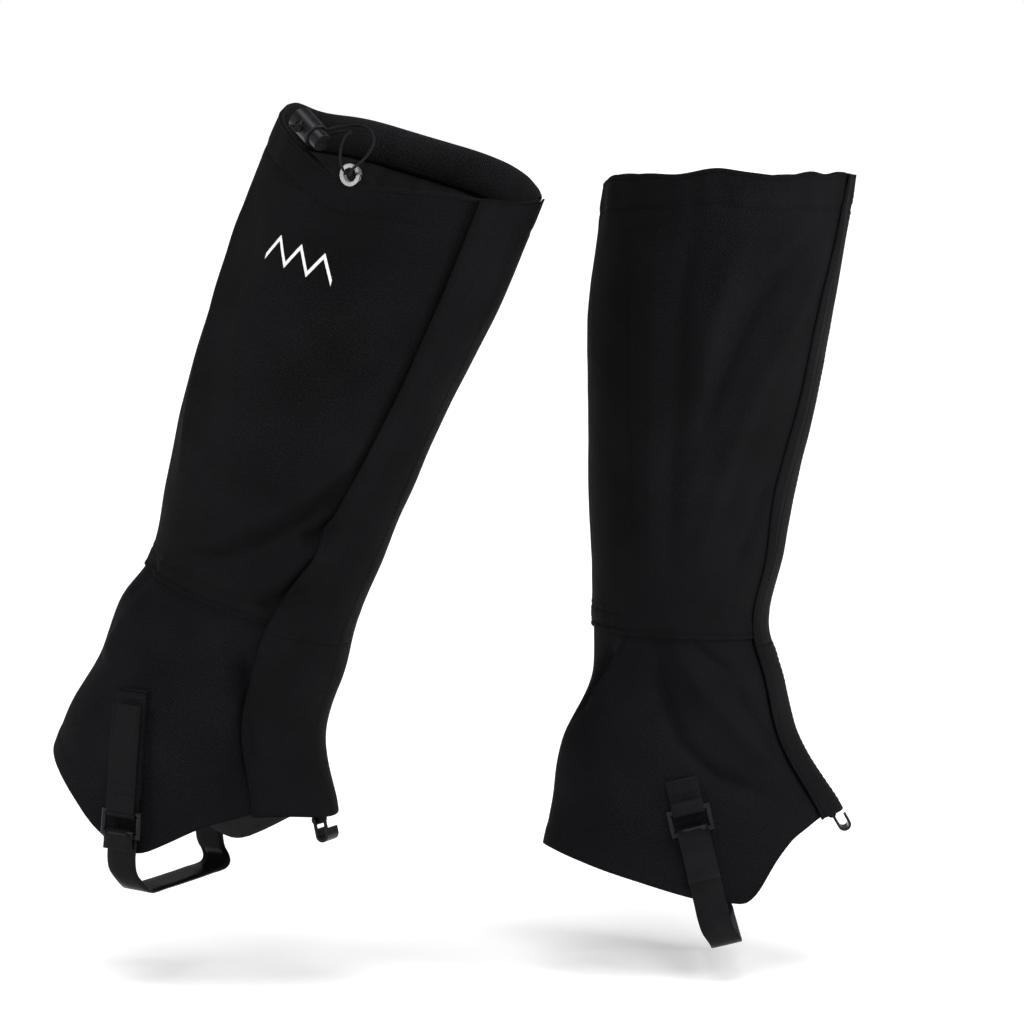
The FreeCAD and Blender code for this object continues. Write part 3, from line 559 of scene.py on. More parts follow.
class Finish:
    """A principled material in the making, and the nodes that lead into it."""

    def __init__(self, name, colour, roughness, **sockets):
        self.material = bpy.data.materials.new(name)
        self.material.use_nodes = True
        self.tree = self.material.node_tree
        self.shader = self.tree.nodes["Principled BSDF"]
        self.shader.inputs["Base Color"].default_value = (*colour, 1.0)
        self.shader.inputs["Roughness"].default_value = roughness
        for socket, value in sockets.items():
            self.shader.inputs[socket.replace("_", " ")].default_value = value

    def node(self, kind, inputs, output=0, **settings):
        """A new node's output; each input is a plain value or another node's output."""
        item = self.tree.nodes.new("ShaderNode" + kind)
        for setting, value in settings.items():
            setattr(item, setting, value)
        for socket, value in inputs.items():
            if isinstance(value, bpy.types.NodeSocket):
                self.tree.links.new(value, item.inputs[socket])
            else:
                item.inputs[socket].default_value = value
        return item.outputs[output]

    def maths(self, operation, *values):
        """A Math node on numbers and outputs."""
        return self.node("Math", dict(enumerate(values)), operation=operation)

    def spread(self, value, low, high):
        """0 to 1 stretched to low to high."""
        return self.maths("MULTIPLY_ADD", value, high - low, low)

    def wave(self, value, pitch):
        """A sine along a coordinate, one turn in each pitch."""
        return self.maths("SINE", self.maths("MULTIPLY", value, 2 * math.pi / pitch))

    def noise(self, vector, scale, detail=3.0, rough=0.55):
        """A noise texture's value."""
        inputs = {"Vector": vector, "Scale": scale, "Detail": detail, "Roughness": rough}
        return self.node("TexNoise", inputs, "Fac")

    def bump(self, height, distance, strength, **below):
        """A bump from a height in millimetres, on top of another one."""
        inputs = {"Height": height, "Distance": distance * MM, "Strength": strength}
        return self.node("Bump", inputs | below)

    def axes(self, vector):
        """The three parts of a vector."""
        split = self.node("SeparateXYZ", {0: vector}).node
        return [split.outputs[axis] for axis in "XYZ"]

    def cloth(self):
        """The piece's own cloth coordinates in millimetres, slightly uneven as real yarn is."""
        uv = self.node("UVMap", {}, uv_map=UV)
        wobble = self.node("TexNoise", {"Vector": uv, "Scale": 0.22, "Detail": 3.0}, "Color")
        uneven = self.node("VectorMath", {0: wobble, 1: (1.1, 1.1, 0.0), 2: uv}, operation="MULTIPLY_ADD")
        across, along, _ = self.axes(uneven)
        return uv, across, along

    def done(self, normal, tone, stops, roughness=None):
        """The finished material, from its bump, its tone through colour stops and its roughness."""
        item = self.node("ValToRGB", {"Fac": tone}, "Color")
        for element, (position, colour) in zip(item.node.color_ramp.elements, stops):
            element.position = position
            element.color = (*colour, 1.0)
        self.tree.links.new(item, self.shader.inputs["Base Color"])
        self.tree.links.new(normal, self.shader.inputs["Normal"])
        if roughness is not None:
            self.tree.links.new(roughness, self.shader.inputs["Roughness"])
        return self.material


def woven(name, dark, light, pitch, relief, roughness=0.7):
    """Plain-woven cloth: yarns over and under, uneven yarn, soft dye variation, light creasing."""
    look = Finish(name, dark, roughness, Specular_IOR_Level=0.03)
    uv, across, along = look.cloth()
    cross = look.maths("MULTIPLY", look.wave(across, pitch), look.wave(along, pitch))
    slub = look.noise(uv, 0.9, 2.0)
    fibre = look.noise(uv, 3.5, 3.0, 0.7)
    dye = look.noise(uv, 0.018, 3.0)
    crease = look.noise(uv, 0.06, 4.0, 0.6)
    height = look.maths("ADD", look.spread(cross, 0.5, 1.0), look.spread(fibre, -0.25, 0.25))
    normal = look.bump(height, relief, 0.8, Normal=look.bump(crease, 1.6, 0.35))
    tone = look.maths("MULTIPLY_ADD", cross, 0.36, 0.3)
    tone = look.maths("ADD", tone, look.spread(slub, -0.5, 0.5))
    tone = look.maths("ADD", tone, look.spread(dye, -0.25, 0.25))
    uneven = look.spread(slub, roughness - 0.08, roughness + 0.1)
    return look.done(normal, tone, [(0.0, dark), (1.0, light)], uneven)


def ribbed(name, dark, light, pitch):
    """Woven tape with ribs across it and a fine herringbone."""
    look = Finish(name, dark, 0.7, Specular_IOR_Level=0.06)
    uv, across, along = look.cloth()
    slant = look.maths("MULTIPLY", look.maths("PINGPONG", across, 2.5), 2.2)
    phase = look.maths("ADD", look.maths("MULTIPLY", along, 2 * math.pi / pitch), slant)
    rib = look.spread(look.maths("SINE", phase), 0.5, 1.0)
    fibre = look.noise(uv, 2.4, 3.0, 0.65)
    normal = look.bump(look.maths("ADD", rib, look.spread(fibre, -0.2, 0.2)), 0.16, 0.8)
    tone = look.maths("ADD", look.maths("MULTIPLY", rib, 0.5), look.spread(fibre, -0.1, 0.45))
    return look.done(normal, tone, [(0.0, dark), (1.0, light)])


def fuzzy(name, dark, light, scale, relief):
    """Hook or loop tape: a dense pile."""
    look = Finish(name, dark, 0.85, Specular_IOR_Level=0.25, Sheen_Weight=0.4, Sheen_Roughness=0.5)
    uv, _, _ = look.cloth()
    pile = look.maths("SUBTRACT", 1.0, look.node("TexVoronoi", {"Vector": uv, "Scale": scale}, "Distance"))
    tuft = look.noise(uv, scale * 0.3, 3.0, 0.7)
    normal = look.bump(look.maths("ADD", pile, tuft), relief, 0.9)
    return look.done(normal, look.maths("MULTIPLY", pile, tuft), [(0.1, dark), (0.8, light)])


def moulded(name, dark, light, roughness, relief, scale, **sockets):
    """Plastic or metal with a faintly uneven surface, from the piece's own coordinates in metres."""
    look = Finish(name, dark, roughness, **sockets)
    place = look.node("TexCoord", {}, "Object")
    grain = look.noise(place, scale, 4.0, 0.6)
    marks = look.noise(place, scale * 0.12, 5.0, 0.65)
    uneven = look.spread(marks, roughness * 0.7, min(1.0, roughness * 1.4))
    return look.done(look.bump(grain, relief, 0.6), marks, [(0.35, dark), (0.75, light)], uneven)


def braided(name, dark, light):
    """Braided cord cover, crossing yarns in a fine diamond."""
    look = Finish(name, dark, 0.65, Specular_IOR_Level=0.12)
    radians_per_metre = 5200.0
    x, y, z = look.axes(look.node("TexCoord", {}, "Object"))
    level = look.maths("ADD", x, z)
    yarns = [look.maths("SINE", look.maths("MULTIPLY", look.maths(way, level, y), radians_per_metre))
             for way in ("ADD", "SUBTRACT")]
    yarn = look.maths("MAXIMUM", *yarns)
    return look.done(look.bump(yarn, 0.12, 0.8), look.spread(yarn, 0.4, 0.9), [(0.0, dark), (1.0, light)])


SHELL = woven("shell_cloth", (0.0012, 0.0012, 0.0014), (0.0125, 0.0125, 0.0142), 1.5, 0.24)
# The facing cloth is lighter than the shell as painted light: it stands for the lit band inside the rim.
PAINTED_LIT_FACING = woven("hem_facing_painted_light", (0.004, 0.004, 0.0045), (0.033, 0.033, 0.036), 1.5, 0.24)
BOOT = woven("boot_cloth", (0.0012, 0.0012, 0.0015), (0.0122, 0.0122, 0.0145), 1.6, 0.26)
COATING = moulded("inner_coating", (0.012, 0.012, 0.0135), (0.022, 0.022, 0.024), 0.6, 0.08, 900.0,
                  Specular_IOR_Level=0.1)
WEBBING = ribbed("strap_webbing", (0.0016, 0.0017, 0.002), (0.0085, 0.0088, 0.0098), 1.3)
HOOK = fuzzy("hook_tape", (0.004, 0.004, 0.0045), (0.02, 0.02, 0.022), 0.9, 0.35)
LOOP = fuzzy("loop_tape_pile", (0.005, 0.005, 0.0055), (0.03, 0.03, 0.033), 0.6, 0.45)
THREAD = Finish("sewing_thread", (0.005, 0.005, 0.006), 0.7, Specular_IOR_Level=0.05).material
PLASTIC = moulded("coated_strap", (0.003, 0.003, 0.0036), (0.007, 0.007, 0.008), 0.25, 0.12, 260.0,
                  Specular_IOR_Level=0.06)
LOCK = moulded("moulded_lock", (0.005, 0.005, 0.006), (0.012, 0.012, 0.014), 0.3, 0.05, 1600.0,
               Specular_IOR_Level=0.15)
NICKEL = moulded("nickel_plate", (0.72, 0.71, 0.69), (0.82, 0.81, 0.79), 0.16, 0.02, 900.0, Metallic=1.0)
BLACK_WIRE = moulded("black_wire", (0.004, 0.004, 0.005), (0.009, 0.009, 0.01), 0.22, 0.03, 1200.0,
                     Specular_IOR_Level=0.12)
SPRING = moulded("spring_wire", (0.5, 0.5, 0.5), (0.62, 0.62, 0.62), 0.3, 0.02, 1500.0, Metallic=1.0)
CORD = braided("braided_cord", (0.002, 0.002, 0.0025), (0.01, 0.0105, 0.011))
PRINT = moulded("white_print", (0.74, 0.74, 0.73), (0.82, 0.82, 0.81), 0.55, 0.06, 1400.0)

# ---------------------------------------------------------------- camera and cords

camera = bpy.data.objects.new("camera", bpy.data.cameras.new("camera"))
camera.data.lens = 135.66
camera.data.sensor_width = 36.0
camera.location = (-0.1291, -2.4003, 0.5071)
camera.rotation_euler = (math.radians(84.24), 0.0, 0.0)
bpy.context.scene.collection.objects.link(camera)
bpy.context.scene.camera = camera

LEFT = Gaiter("left", side=1, place=Matrix.Identity(4), sections=LEFT_SECTIONS, folds=LEFT_FOLDS,
              rim=LEFT_RIM, edge=LEFT_EDGE, seam_rise=(1.0, 7.0), strap_x=0.0, seed=11)
RIGHT = Gaiter("right", side=-1, place=RIGHT_PLACE, sections=RIGHT_SECTIONS, folds=RIGHT_FOLDS,
               rim=RIGHT_RIM, edge=RIGHT_EDGE, seam_rise=(0.0, 0.0), strap_x=-19.0, seed=23)


def describe(gaiter, nodes):
    """Hide the plain solids that a piece stands for."""
    if nodes:
        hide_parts(*[gaiter.piece(node) for node in nodes])


def settle(piece, gaiter, body, material_slot, *nodes):
    """Tie a piece to one body."""
    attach(piece, gaiter.piece(body))
    describe(gaiter, nodes)


def make_knot(gaiter, facts):
    """Both strands tied in one overhand knot, with their two sealed tails."""
    heading = unit(np.array([facts["through"]]))[0]
    sideways = (0.3, 0.2, 1.0) if abs(heading[2]) < 0.9 else (1.0, 0.2, 0.0)
    cross = unit(np.cross(heading, [sideways]))[0]
    over = np.cross(heading, cross)
    middle = np.array(facts["centre"]) + heading * KNOT_OUT
    turns = np.linspace(0, 2 * math.pi, 72, endpoint=False)
    trefoil = np.stack([np.sin(turns) + 2 * np.sin(2 * turns), np.cos(turns) - 2 * np.cos(2 * turns),
                        -1.5 * np.sin(3 * turns)], axis=1) * KNOT_SIZE
    path = middle + trefoil @ np.stack([cross, over, heading])
    sides = 10
    angles = np.arange(sides) * 2 * math.pi / sides
    tangent = unit(np.roll(path, -1, axis=0) - np.roll(path, 1, axis=0))
    outward = path - middle
    outward = unit(outward - tangent * np.sum(outward * tangent, axis=1, keepdims=True))
    binormal = np.cross(tangent, outward)
    vertices = [place + (out * math.cos(angle) + up * math.sin(angle)) * KNOT_CORD
                for place, out, up in zip(path, outward, binormal) for angle in angles]
    faces = ring_faces(0, len(path), sides, closed=True)
    tail_rings = ((0.0, 1.0), (0.8, 1.0), (1.0, 0.6))
    for shift in (-1.1, 1.1):
        start = middle + heading * 1.4 + cross * shift
        end = middle + heading * 4.6 + cross * shift * 1.5 + over * 0.5
        first = len(vertices)
        for part, radius in tail_rings:
            place = start + (end - start) * part
            vertices += [place + (cross * math.cos(angle) + over * math.sin(angle)) * radius
                         for angle in angles]
        faces += ring_faces(first, len(tail_rings), sides) + end_faces(first, len(tail_rings), sides)[1:]
    return finished(gaiter.piece("knot"), gaiter.to_row(np.array(vertices)), faces, [CORD])


def round_cord(name, points, width):
    """A round cord along control points in metres."""
    curve = bpy.data.curves.new(name, "CURVE")
    curve.dimensions = "3D"
    spline = curve.splines.new("NURBS")
    spline.points.add(len(points) - 1)
    for control, point in zip(spline.points, points):
        control.co = (*[float(value) for value in point], 1.0)
    spline.order_u = 3
    spline.use_endpoint_u = True
    spline.resolution_u = 10
    curve.bevel_depth = width / 2 * MM
    curve.bevel_resolution = 3
    curve.use_fill_caps = True
    curve.materials.append(CORD)
    piece = bpy.data.objects.new(name, curve)
    bpy.context.scene.collection.objects.link(piece)
    return piece


def make_cords(gaiter):
    """The drawcord's two strands, from the eyelet through the lock to their knot."""
    facts = DRAWCORDS[gaiter.name]
    knot = make_knot(gaiter, facts)
    settle(knot, gaiter, "shell", "cord", "drawcord_knot")
    for strand, length in (("strand_a", facts["length_a"]), ("strand_b", facts["length_b"])):
        points = [gaiter.point(*point) for point in facts[strand]]
        piece = round_cord(gaiter.piece(strand), points, CORD_WIDE)
        settle(piece, gaiter, "shell", "cord", "drawcord_" + strand)


for gaiter in (LEFT, RIGHT):
    make_cords(gaiter)


# ---------------------------------------------------------------- cloth panels

def round_shell(z, part):
    """Angles from the under edge of the front opening (0) right round to its other edge (1)."""
    start = front_angle(SLIT_OUT, z)
    end = 2 * math.pi + front_angle(-flap_line(z, SEAM) + 1.5, z)
    return start + (end - start) * part


def make_panels(gaiter):
    """The upper and lower panels, the turned rim, their hems and the tape over the back seam."""
    part = np.linspace(0, 1, 176)[None, :]
    z = rows_through(LAP_LOW, RIM - 0.6, (LAP_STITCH, LAP_HIGH, HEM_STITCH))[:, None]
    theta = round_shell(z, part)
    lift = 0.5 * (1 - smooth_step(z, LAP_HIGH + 1, LAP_HIGH + 3)) + 0 * theta
    for row in (LAP_HIGH, LAP_STITCH):
        lift = lift - LAP_GROOVE * bell(z, row, LAP_GROOVE_WIDE)
    upper = sheet_on(gaiter, "upper_cloth", theta, z, lift, CLOTH, [SHELL, COATING])
    settle(upper, gaiter, "shell", "shell_fabric", "upper_panel", "ankle_seam_band")

    # the rim's fold, seen in section from its outer face over the top and down inside: lift, height
    fold = np.array([(0.15, -2.0), (0.25, -0.6), (-0.05, 0.3), (-0.85, 0.8), (-1.85, 0.5), (-2.75, -0.8),
                     (-3.55, -4), (-4.15, -9), (-4.15, -14), (-3.45, -18), (-2.25, -21), (-1.55, -23)])
    # inside the rim the facing's inner face takes the lighter facing cloth: painted light for the lit inner
    # hem band
    facing = sheet_on(gaiter, "rim_facing", round_shell(RIM, part), RIM + fold[:, 1:], fold[:, :1], 0.5,
                      [SHELL, PAINTED_LIT_FACING])
    settle(facing, gaiter, "shell", "shell_fabric", "top_hem_facing")

    bottom = gaiter.lower_edge(round_shell(MID_FOOT, part))
    z = bottom + (LAP_HIGH - bottom) * np.linspace(0, 1, 66)[:, None]
    theta = round_shell(z, part)
    high = z - gaiter.lower_edge(theta)
    turned = 1 - smooth_step(high, 10, 13)
    lift = LOWER_LIFT + 0.55 * (1 - smooth_step(high, 10.5, 13)) - 0.4 * bell(high, 10, 1.2)
    lower = sheet_on(gaiter, "lower_cloth", theta, z, lift, CLOTH + 0.9 * turned, [BOOT, COATING])
    settle(lower, gaiter, "shell", "boot_fabric", "lower_panel", "bottom_hem")

    z = spaced(LAP_HIGH + 2, RIM - 24)[:, None]
    theta = math.pi + np.linspace(-6, 6, 7)[None, :] / half_width(z)
    tape = sheet_on(gaiter, "seam_tape", theta, z, -CLOTH - 0.05, 0.4, [WEBBING])
    settle(tape, gaiter, "shell", "webbing", "back_seam_tape")


def flap_lift(out, z):
    """How far the flap stands off the leg: least at its seam, most near the ankle's free edge."""
    edge = flap_line(z, EDGE)
    near_edge = smooth_step(out, edge - 16, edge)
    stand = 0.9 + 2.6 * bell(z, 178, 42.0) + smooth_step(z, 130, 85)
    return FLAP_OFF + 0.7 * smooth_step(out, HINGE_OUT, 0) + near_edge * stand


def root_lift(out, z):
    """How far the flap's root stands off the leg, rising from its seam to the fold."""
    start = -flap_line(z, SEAM)
    return ROOT_OFF + 0.55 * smooth_step(out, start + 1, np.minimum(start + 6, HINGE_OUT))


def hook_lift(out, z):
    """The hook tape lies on the flap's inner face."""
    return flap_lift(out, z) - FLAP_CLOTH


def flap_sheet(gaiter, name, z, low_out, high_out, lift, thick, materials, columns=28):
    """A sheet over the front, from one line beside its middle to another; lift is a number or a rule."""
    out = low_out + (high_out - low_out) * np.linspace(0, 1, columns)[None, :]
    height = lift(out, z) if callable(lift) else lift
    return sheet_on(gaiter, name, front_angle(out, z), z, height, thick, materials)


def flap_rows(gaiter, low_out, high_out, columns):
    """Heights of the lower flap, from its cut edge to the ankle join."""
    out = low_out + (high_out - low_out) * np.linspace(0, 1, columns)[None, :]
    bottom = gaiter.lower_edge(front_angle(out, 80.0)) - 2.0
    return bottom + (ANKLE_JOIN - bottom) * np.linspace(0, 1, 44)[:, None]


# where each stretch of the flap starts to turn out about its seam, and where it has turned fully: x, z
BENDS = {"top": ((30, 190), (50, 262)), "foot": ((30, 180), (45, 132))}


def bend(piece, gaiter, stretch, material_slot, *nodes):
    """Bake a piece's placement into its mesh and hide the plain solids it stands for."""
    still, turned = BENDS[stretch]
    gaiter.piece("shell")
    gaiter.piece("flap_" + stretch)
    gaiter.point(still[0], 0, still[1])
    gaiter.point(turned[0], 0, turned[1])
    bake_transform(piece)
    describe(gaiter, nodes)


def make_flap(gaiter):
    """The front flap in its stretches, its seam and the tapes that close it."""
    z = spaced(ANKLE_JOIN, RIM + 0.2)[:, None]
    low_z = flap_rows(gaiter, HINGE_OUT, 36.0, 28)
    top = flap_sheet(gaiter, "flap_top_cloth", z, HINGE_OUT, flap_line(z, EDGE), flap_lift, FLAP_CLOTH,
                     [SHELL, COATING])
    bend(top, gaiter, "top", "shell_fabric", "flap_upper", "flap_ankle")
    foot = flap_sheet(gaiter, "flap_foot_cloth", low_z, HINGE_OUT, flap_line(low_z, EDGE), flap_lift,
                      FLAP_CLOTH, [SHELL, COATING])
    bend(foot, gaiter, "foot", "shell_fabric", "flap_lower")

    low_z = flap_rows(gaiter, -31.0, HINGE_OUT, 8)
    low_seam = np.minimum(-flap_line(low_z, SEAM), HINGE_OUT - 1.5)
    for stretch, z, seam, nodes in (("top", z, -flap_line(z, SEAM), ["flap_seam"]),
                                    ("foot", low_z, low_seam, [])):
        root = flap_sheet(gaiter, "flap_root_" + stretch, z, seam, HINGE_OUT + 0.01, root_lift, FLAP_CLOTH,
                          [SHELL], 8)
        settle(root, gaiter, "shell", "shell_fabric", *nodes)

    top_z = spaced(204, RIM - 4)[:, None]
    foot_z = np.clip(flap_rows(gaiter, TAPE_OUT, 31.0, 16) + 5, None, 162.0)
    for stretch, z, loop_lift, loop_nodes, hook_node in (
            ("top", top_z, 0.7, ["loop_tape"], "hook_tape_upper"),
            ("foot", foot_z, -0.3, [], "hook_tape_lower")):
        edge = flap_line(z, EDGE) - TAPE_INSET
        loop = flap_sheet(gaiter, "loop_tape_" + stretch, z, TAPE_OUT, edge, loop_lift, 0.7, [LOOP], 16)
        settle(loop, gaiter, "shell", "hook_and_loop", *loop_nodes)
        hook = flap_sheet(gaiter, "hook_tape_" + stretch, z, TAPE_OUT, edge, hook_lift, 0.5, [HOOK], 16)
        bend(hook, gaiter, stretch, "hook_and_loop", hook_node)


def make_stitching(gaiter):
    """Every visible row of thread on the cloth."""
    part = np.linspace(0, 1, 360)
    rows = [gaiter.surface(round_shell(z, part), z, lift)
            for z, lift in ((HEM_STITCH, 0.05), (LAP_HIGH, -0.25), (LAP_STITCH, 0.2))]
    theta = round_shell(MID_FOOT, part)
    rows.append(gaiter.surface(theta, gaiter.lower_edge(theta) + 10, LOWER_LIFT + 0.1))
    z = np.linspace(86, RIM - 3, 300)
    for inset in (1.6, 5.4):
        seam = -flap_line(z, SEAM)
        out = np.minimum(seam, HINGE_OUT - 1.5) + inset
        keep = out < HINGE_OUT
        lift = ROOT_OFF + 0.05 + 0.5 * smooth_step(out, seam + 1, seam + 6)
        rows.append(gaiter.surface(front_angle(out, z)[keep], z[keep], lift[keep]))
    settle(stitches(gaiter.piece("shell_thread"), rows), gaiter, "shell", "cord")

    for stretch, low, high in (("top", ANKLE_JOIN, RIM - 2), ("foot", 82.0, ANKLE_JOIN)):
        z = np.linspace(low, high, 200)
        rows = []
        for inset in (3.0, 14.0, 38.0):
            out = flap_line(z, EDGE) - inset
            rows.append(gaiter.surface(front_angle(out, z), z, flap_lift(out, z) + 0.02))
        bend(stitches(gaiter.piece("flap_thread_" + stretch), rows), gaiter, stretch, "cord")


# ---------------------------------------------------------------- straps

def strap_points(gaiter, points):
    """(shift, out, height) or (out, height) in the strap's tilted plane to the gaiter's own frame."""
    tilt = math.radians(STRAP_TILT)
    points = np.array(points, dtype=float)
    if points.shape[1] == 2:
        points = np.column_stack([np.zeros(len(points)), points])
    x = gaiter.strap_x + points[:, 0] * math.cos(tilt) - points[:, 2] * math.sin(tilt)
    z = points[:, 0] * math.sin(tilt) + points[:, 2] * math.cos(tilt)
    return np.stack([x, points[:, 1], z], axis=1)


def strap(gaiter, name, points, thick, material, body, material_slot, node, width=STRAP_WIDE):
    """A ribbon along points in the strap's plane, tied to its body."""
    tilt = math.radians(STRAP_TILT)
    across = (math.cos(tilt), 0.0, math.sin(tilt))
    piece = ribbon(gaiter, name, strap_points(gaiter, points), across, width, thick, material)
    settle(piece, gaiter, body, material_slot, node)


def strap_thread(gaiter, name, rows):
    """Rows of thread on a strap, each from one (shift, out, height) point to another."""
    lines = []
    for start, end in rows:
        line = strap_points(gaiter, np.linspace(start, end, 12))
        facing = gaiter.turn((0.0, math.copysign(1.0, start[1]), 0.0))
        lines.append((gaiter.to_row(line), np.tile(facing, (12, 1))))
    return stitches(gaiter.piece(name), lines, pitch=2.6, long=1.9, thick=0.36)


def make_straps(gaiter):
    """Webbing on the outer side, the strap under the arch and the tab on the inner side."""
    web_turn = 2.6
    strap_turn = 2.8
    sole_turn = 10.9
    sole_out = 42.6
    sole_z = 10.0
    path = list(smooth_path([(53.7, 122), (53.6, 100), (53.7, 75), (53.7, 56)], 6))
    path += arc((RING_OUT, OUTER_RING_Z), web_turn, 180, 360)
    strap(gaiter, "webbing", path, 1.3, WEBBING, "shell", "webbing", "outer_webbing")

    path = smooth_path([(58.9, 48.1), (58.9, 60), (59.0, 80), (58.6, 100), (58.4, 115)], 6)
    strap(gaiter, "webbing_end", path, 1.4, WEBBING, "webbing_tail", "webbing", "outer_webbing_end",
          STRAP_WIDE - 0.6)

    path = smooth_path([(52.0, 56), (52.0, 80), (52.1, 100), (52.3, 116), (52.6, 124)], 6)
    strap(gaiter, "anchor", path, 1.6, BOOT, "shell", "boot_fabric", "outer_strap_anchor", STRAP_WIDE + 1)

    path = list(smooth_path([(-51.9, 108), (-52.6, 102), (-53.3, 95), (-53.7, INNER_RING_Z)], 5))
    path += arc((-RING_OUT, INNER_RING_Z), web_turn, 0, -180)
    path += [(-58.9, 91), (-58.8, 95)]
    strap(gaiter, "inner_tab_loop", path, 1.3, WEBBING, "shell", "webbing", "inner_tab")

    sweep = 9.0 if gaiter.name == "right" else 4.0
    path = [(59.3, 25), (59.1, 29), (59.1, 34)]
    path += arc((RING_OUT, OUTER_BAR_Z), strap_turn, 0, 180)[1:]
    path += [(53.6, 26), (53.5, 18), (53.5, sole_z)]
    path += arc((sole_out, sole_z), sole_turn, 0, -90)[1:]
    path += [(28, -0.9), (14, -1.1), (0, -1.1), (-14, -1.1), (-28, -0.9)]
    path += arc((-sole_out, sole_z), sole_turn, -90, -180)
    path += [(-53.5, 18), (-53.4, 30), (-53.3, 45), (-53.4, 62), (-53.5, INNER_BAR_Z)]
    path += arc((-RING_OUT, INNER_BAR_Z), strap_turn, 0, 180)[1:]
    path += [(-59.1, 67), (-59.0, 55), (-59.4, 44)]
    points = [(sweep * float(smooth_step(-height, -15.0, 0.0)), out, height) for out, height in path]
    strap(gaiter, "arch_strap", smooth_path(points, 3), 1.8, PLASTIC, "underfoot", "strap_plastic",
          "instep_strap")

    half = 8.5
    rows = [((-half, 59.7, height), (half, 59.7, height)) for height in (60.0, 66.0)]
    rows += [((shift, 59.3, 70), (shift, 59.3, 113)) for shift in (-8.6, 8.6)]
    settle(strap_thread(gaiter, "tail_thread", rows), gaiter, "webbing_tail", "cord")
    rows = [((-half, out, height), (half, out, height))
            for out, height in ((54.5, 118.0), (54.5, 121.5), (-53.9, 99.0), (-53.9, 105.0))]
    settle(strap_thread(gaiter, "strap_thread", rows), gaiter, "shell", "cord")


def make_elastic(gaiter):
    """The shock cord hidden in the top hem, following the worn cloth."""
    gap = math.radians(11)
    angles = np.linspace(gap, 2 * math.pi - gap, 120)
    points, _ = gaiter.surface(angles, ELASTIC_Z, -2.3)
    curve = round_cord(gaiter.piece("elastic"), points, ELASTIC_WIDE)
    settle(curve, gaiter, "shell", "cord", "hem_elastic_cord")


def make_hook_tab(gaiter):
    """The short loop that carries the lace hook."""
    slope = math.radians(31.0)
    toe_x, toe_z = 70.8, 76.9
    points = [(2.4, 20.0), (2.4, 12.0), (2.4, 4.0), (2.35, -1.5)]
    points += arc((0.0, -2.25), 2.35, 0, -300, 16)[1:]
    path = [(toe_x + x * math.cos(slope) - z * math.sin(slope), 0.0,
             toe_z + x * math.sin(slope) + z * math.cos(slope)) for x, z in points]
    piece = ribbon(gaiter, "hook_tab", path, (0.0, 1.0, 0.0), 10.0, 1.1, WEBBING)
    settle(piece, gaiter, "shell", "webbing", "lace_hook_tab")


def make_print(gaiter):
    """A plain white zigzag on the outer side of the calf."""
    corners = np.array([(-34, 403), (-26, 417), (-18, 403), (-10, 417), (-2, 403), (6, 417), (14, 403)],
                       dtype=float)
    bold = 1.9
    strokes = [np.linspace(start, end, 9, endpoint=False) for start, end in zip(corners[:-1], corners[1:])]
    line = np.concatenate(strokes + [corners[-1:]])
    x = line[:, [0, 0]]
    z = line[:, [1, 1]] + (-bold, bold)
    theta = side_angle(gaiter.sections, 1, x, z)
    points, normals = gaiter.surface(theta, z, 0.22)
    uv = cloth_uv(theta, z)
    piece = cloth_piece(gaiter.piece("print"), points, normals, 0.12, uv, [PRINT], -gaiter.side)
    settle(piece, gaiter, "shell", "print")


def dress_hardware(gaiter):
    """Materials for the pieces whose plain shape is already right."""
    finishes = {"eyelet": NICKEL, "outer_ring": BLACK_WIRE, "inner_ring": BLACK_WIRE, "lace_hook": BLACK_WIRE,
                "cord_lock_body": LOCK, "cord_lock_plunger": LOCK, "cord_lock_spring": SPRING}
    for node, material in finishes.items():
        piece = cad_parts[gaiter.piece(node)]
        for holder in piece.material_slots:
            holder.material = material


for gaiter in (LEFT, RIGHT):
    make_panels(gaiter)
    make_flap(gaiter)
    make_stitching(gaiter)
    make_straps(gaiter)
    make_elastic(gaiter)
    make_hook_tab(gaiter)
    make_print(gaiter)
    dress_hardware(gaiter)


# ---------------------------------------------------------------- floor and light

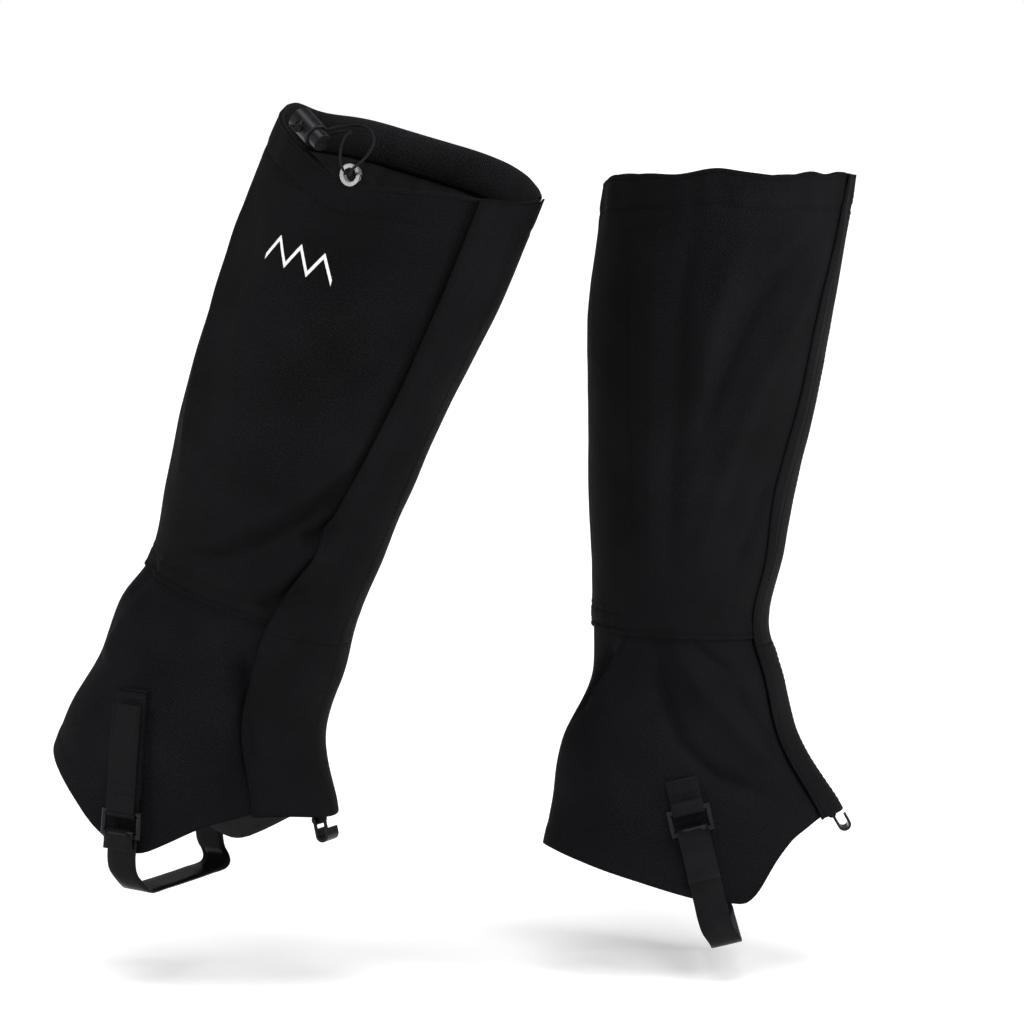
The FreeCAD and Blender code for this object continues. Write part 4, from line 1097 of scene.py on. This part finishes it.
def lamp(name, kind, heading, energy, place=(0.0, 0.0, 0.0), **settings):
    """A light that shines along a direction."""
    data = bpy.data.lights.new(name, kind)
    data.energy = energy
    for setting, value in settings.items():
        setattr(data, setting, value)
    item = bpy.data.objects.new(name, data)
    item.location = place
    item.rotation_euler = Vector(heading).to_track_quat("-Z", "Y").to_euler()
    bpy.context.scene.collection.objects.link(item)


lamp("top", "SUN", (0.05, 0.3, -1.0), 2.3, angle=math.radians(40.0))
lamp("front", "SUN", (-0.25, 1.0, -0.6), 1.1, angle=math.radians(24.0))
lamp("left_window", "AREA", (1.53, 0.8, -0.35), 9.0, place=(-1.8, -0.8, 0.6),
     shape="RECTANGLE", size=0.5, size_y=0.8)
lamp("right_window", "AREA", (-0.68, 0.36, -0.23), 4.4, place=(0.68, -0.36, 0.5),
     shape="RECTANGLE", size=0.22, size_y=0.6)

world = bpy.data.worlds.new("studio")
world.use_nodes = True
studio = world.node_tree
backdrop = studio.nodes["Background"]
ambient = studio.nodes.new("ShaderNodeBackground")
for shade, strength in ((backdrop, 1.0), (ambient, 0.2)):
    shade.inputs["Color"].default_value = (1.0, 1.0, 1.0, 1.0)
    shade.inputs["Strength"].default_value = strength
seen = studio.nodes.new("ShaderNodeLightPath")
choose = studio.nodes.new("ShaderNodeMixShader")
studio.links.new(seen.outputs["Is Camera Ray"], choose.inputs["Fac"])
studio.links.new(ambient.outputs[0], choose.inputs[1])
studio.links.new(backdrop.outputs[0], choose.inputs[2])
studio.links.new(choose.outputs[0], studio.nodes["World Output"].inputs["Surface"])
bpy.context.scene.world = world
bpy.context.scene.view_settings.view_transform = "Standard"

pale = Finish("pale_floor", (0.95, 0.95, 0.95), 0.9, Specular_IOR_Level=0.1,
              Emission_Color=(1.0, 1.0, 1.0, 1.0), Emission_Strength=0.25)
FLOOR_Z = -0.025
FLOOR_HALF = 30.0
FLOOR_NEAR = -5.0
FLOOR_FAR = 60.0
floor_corners = [(-FLOOR_HALF, FLOOR_NEAR, FLOOR_Z), (FLOOR_HALF, FLOOR_NEAR, FLOOR_Z),
                 (FLOOR_HALF, FLOOR_FAR, FLOOR_Z), (-FLOOR_HALF, FLOOR_FAR, FLOOR_Z)]
floor = finished("floor", floor_corners, [(0, 1, 2, 3)], [pale.material])
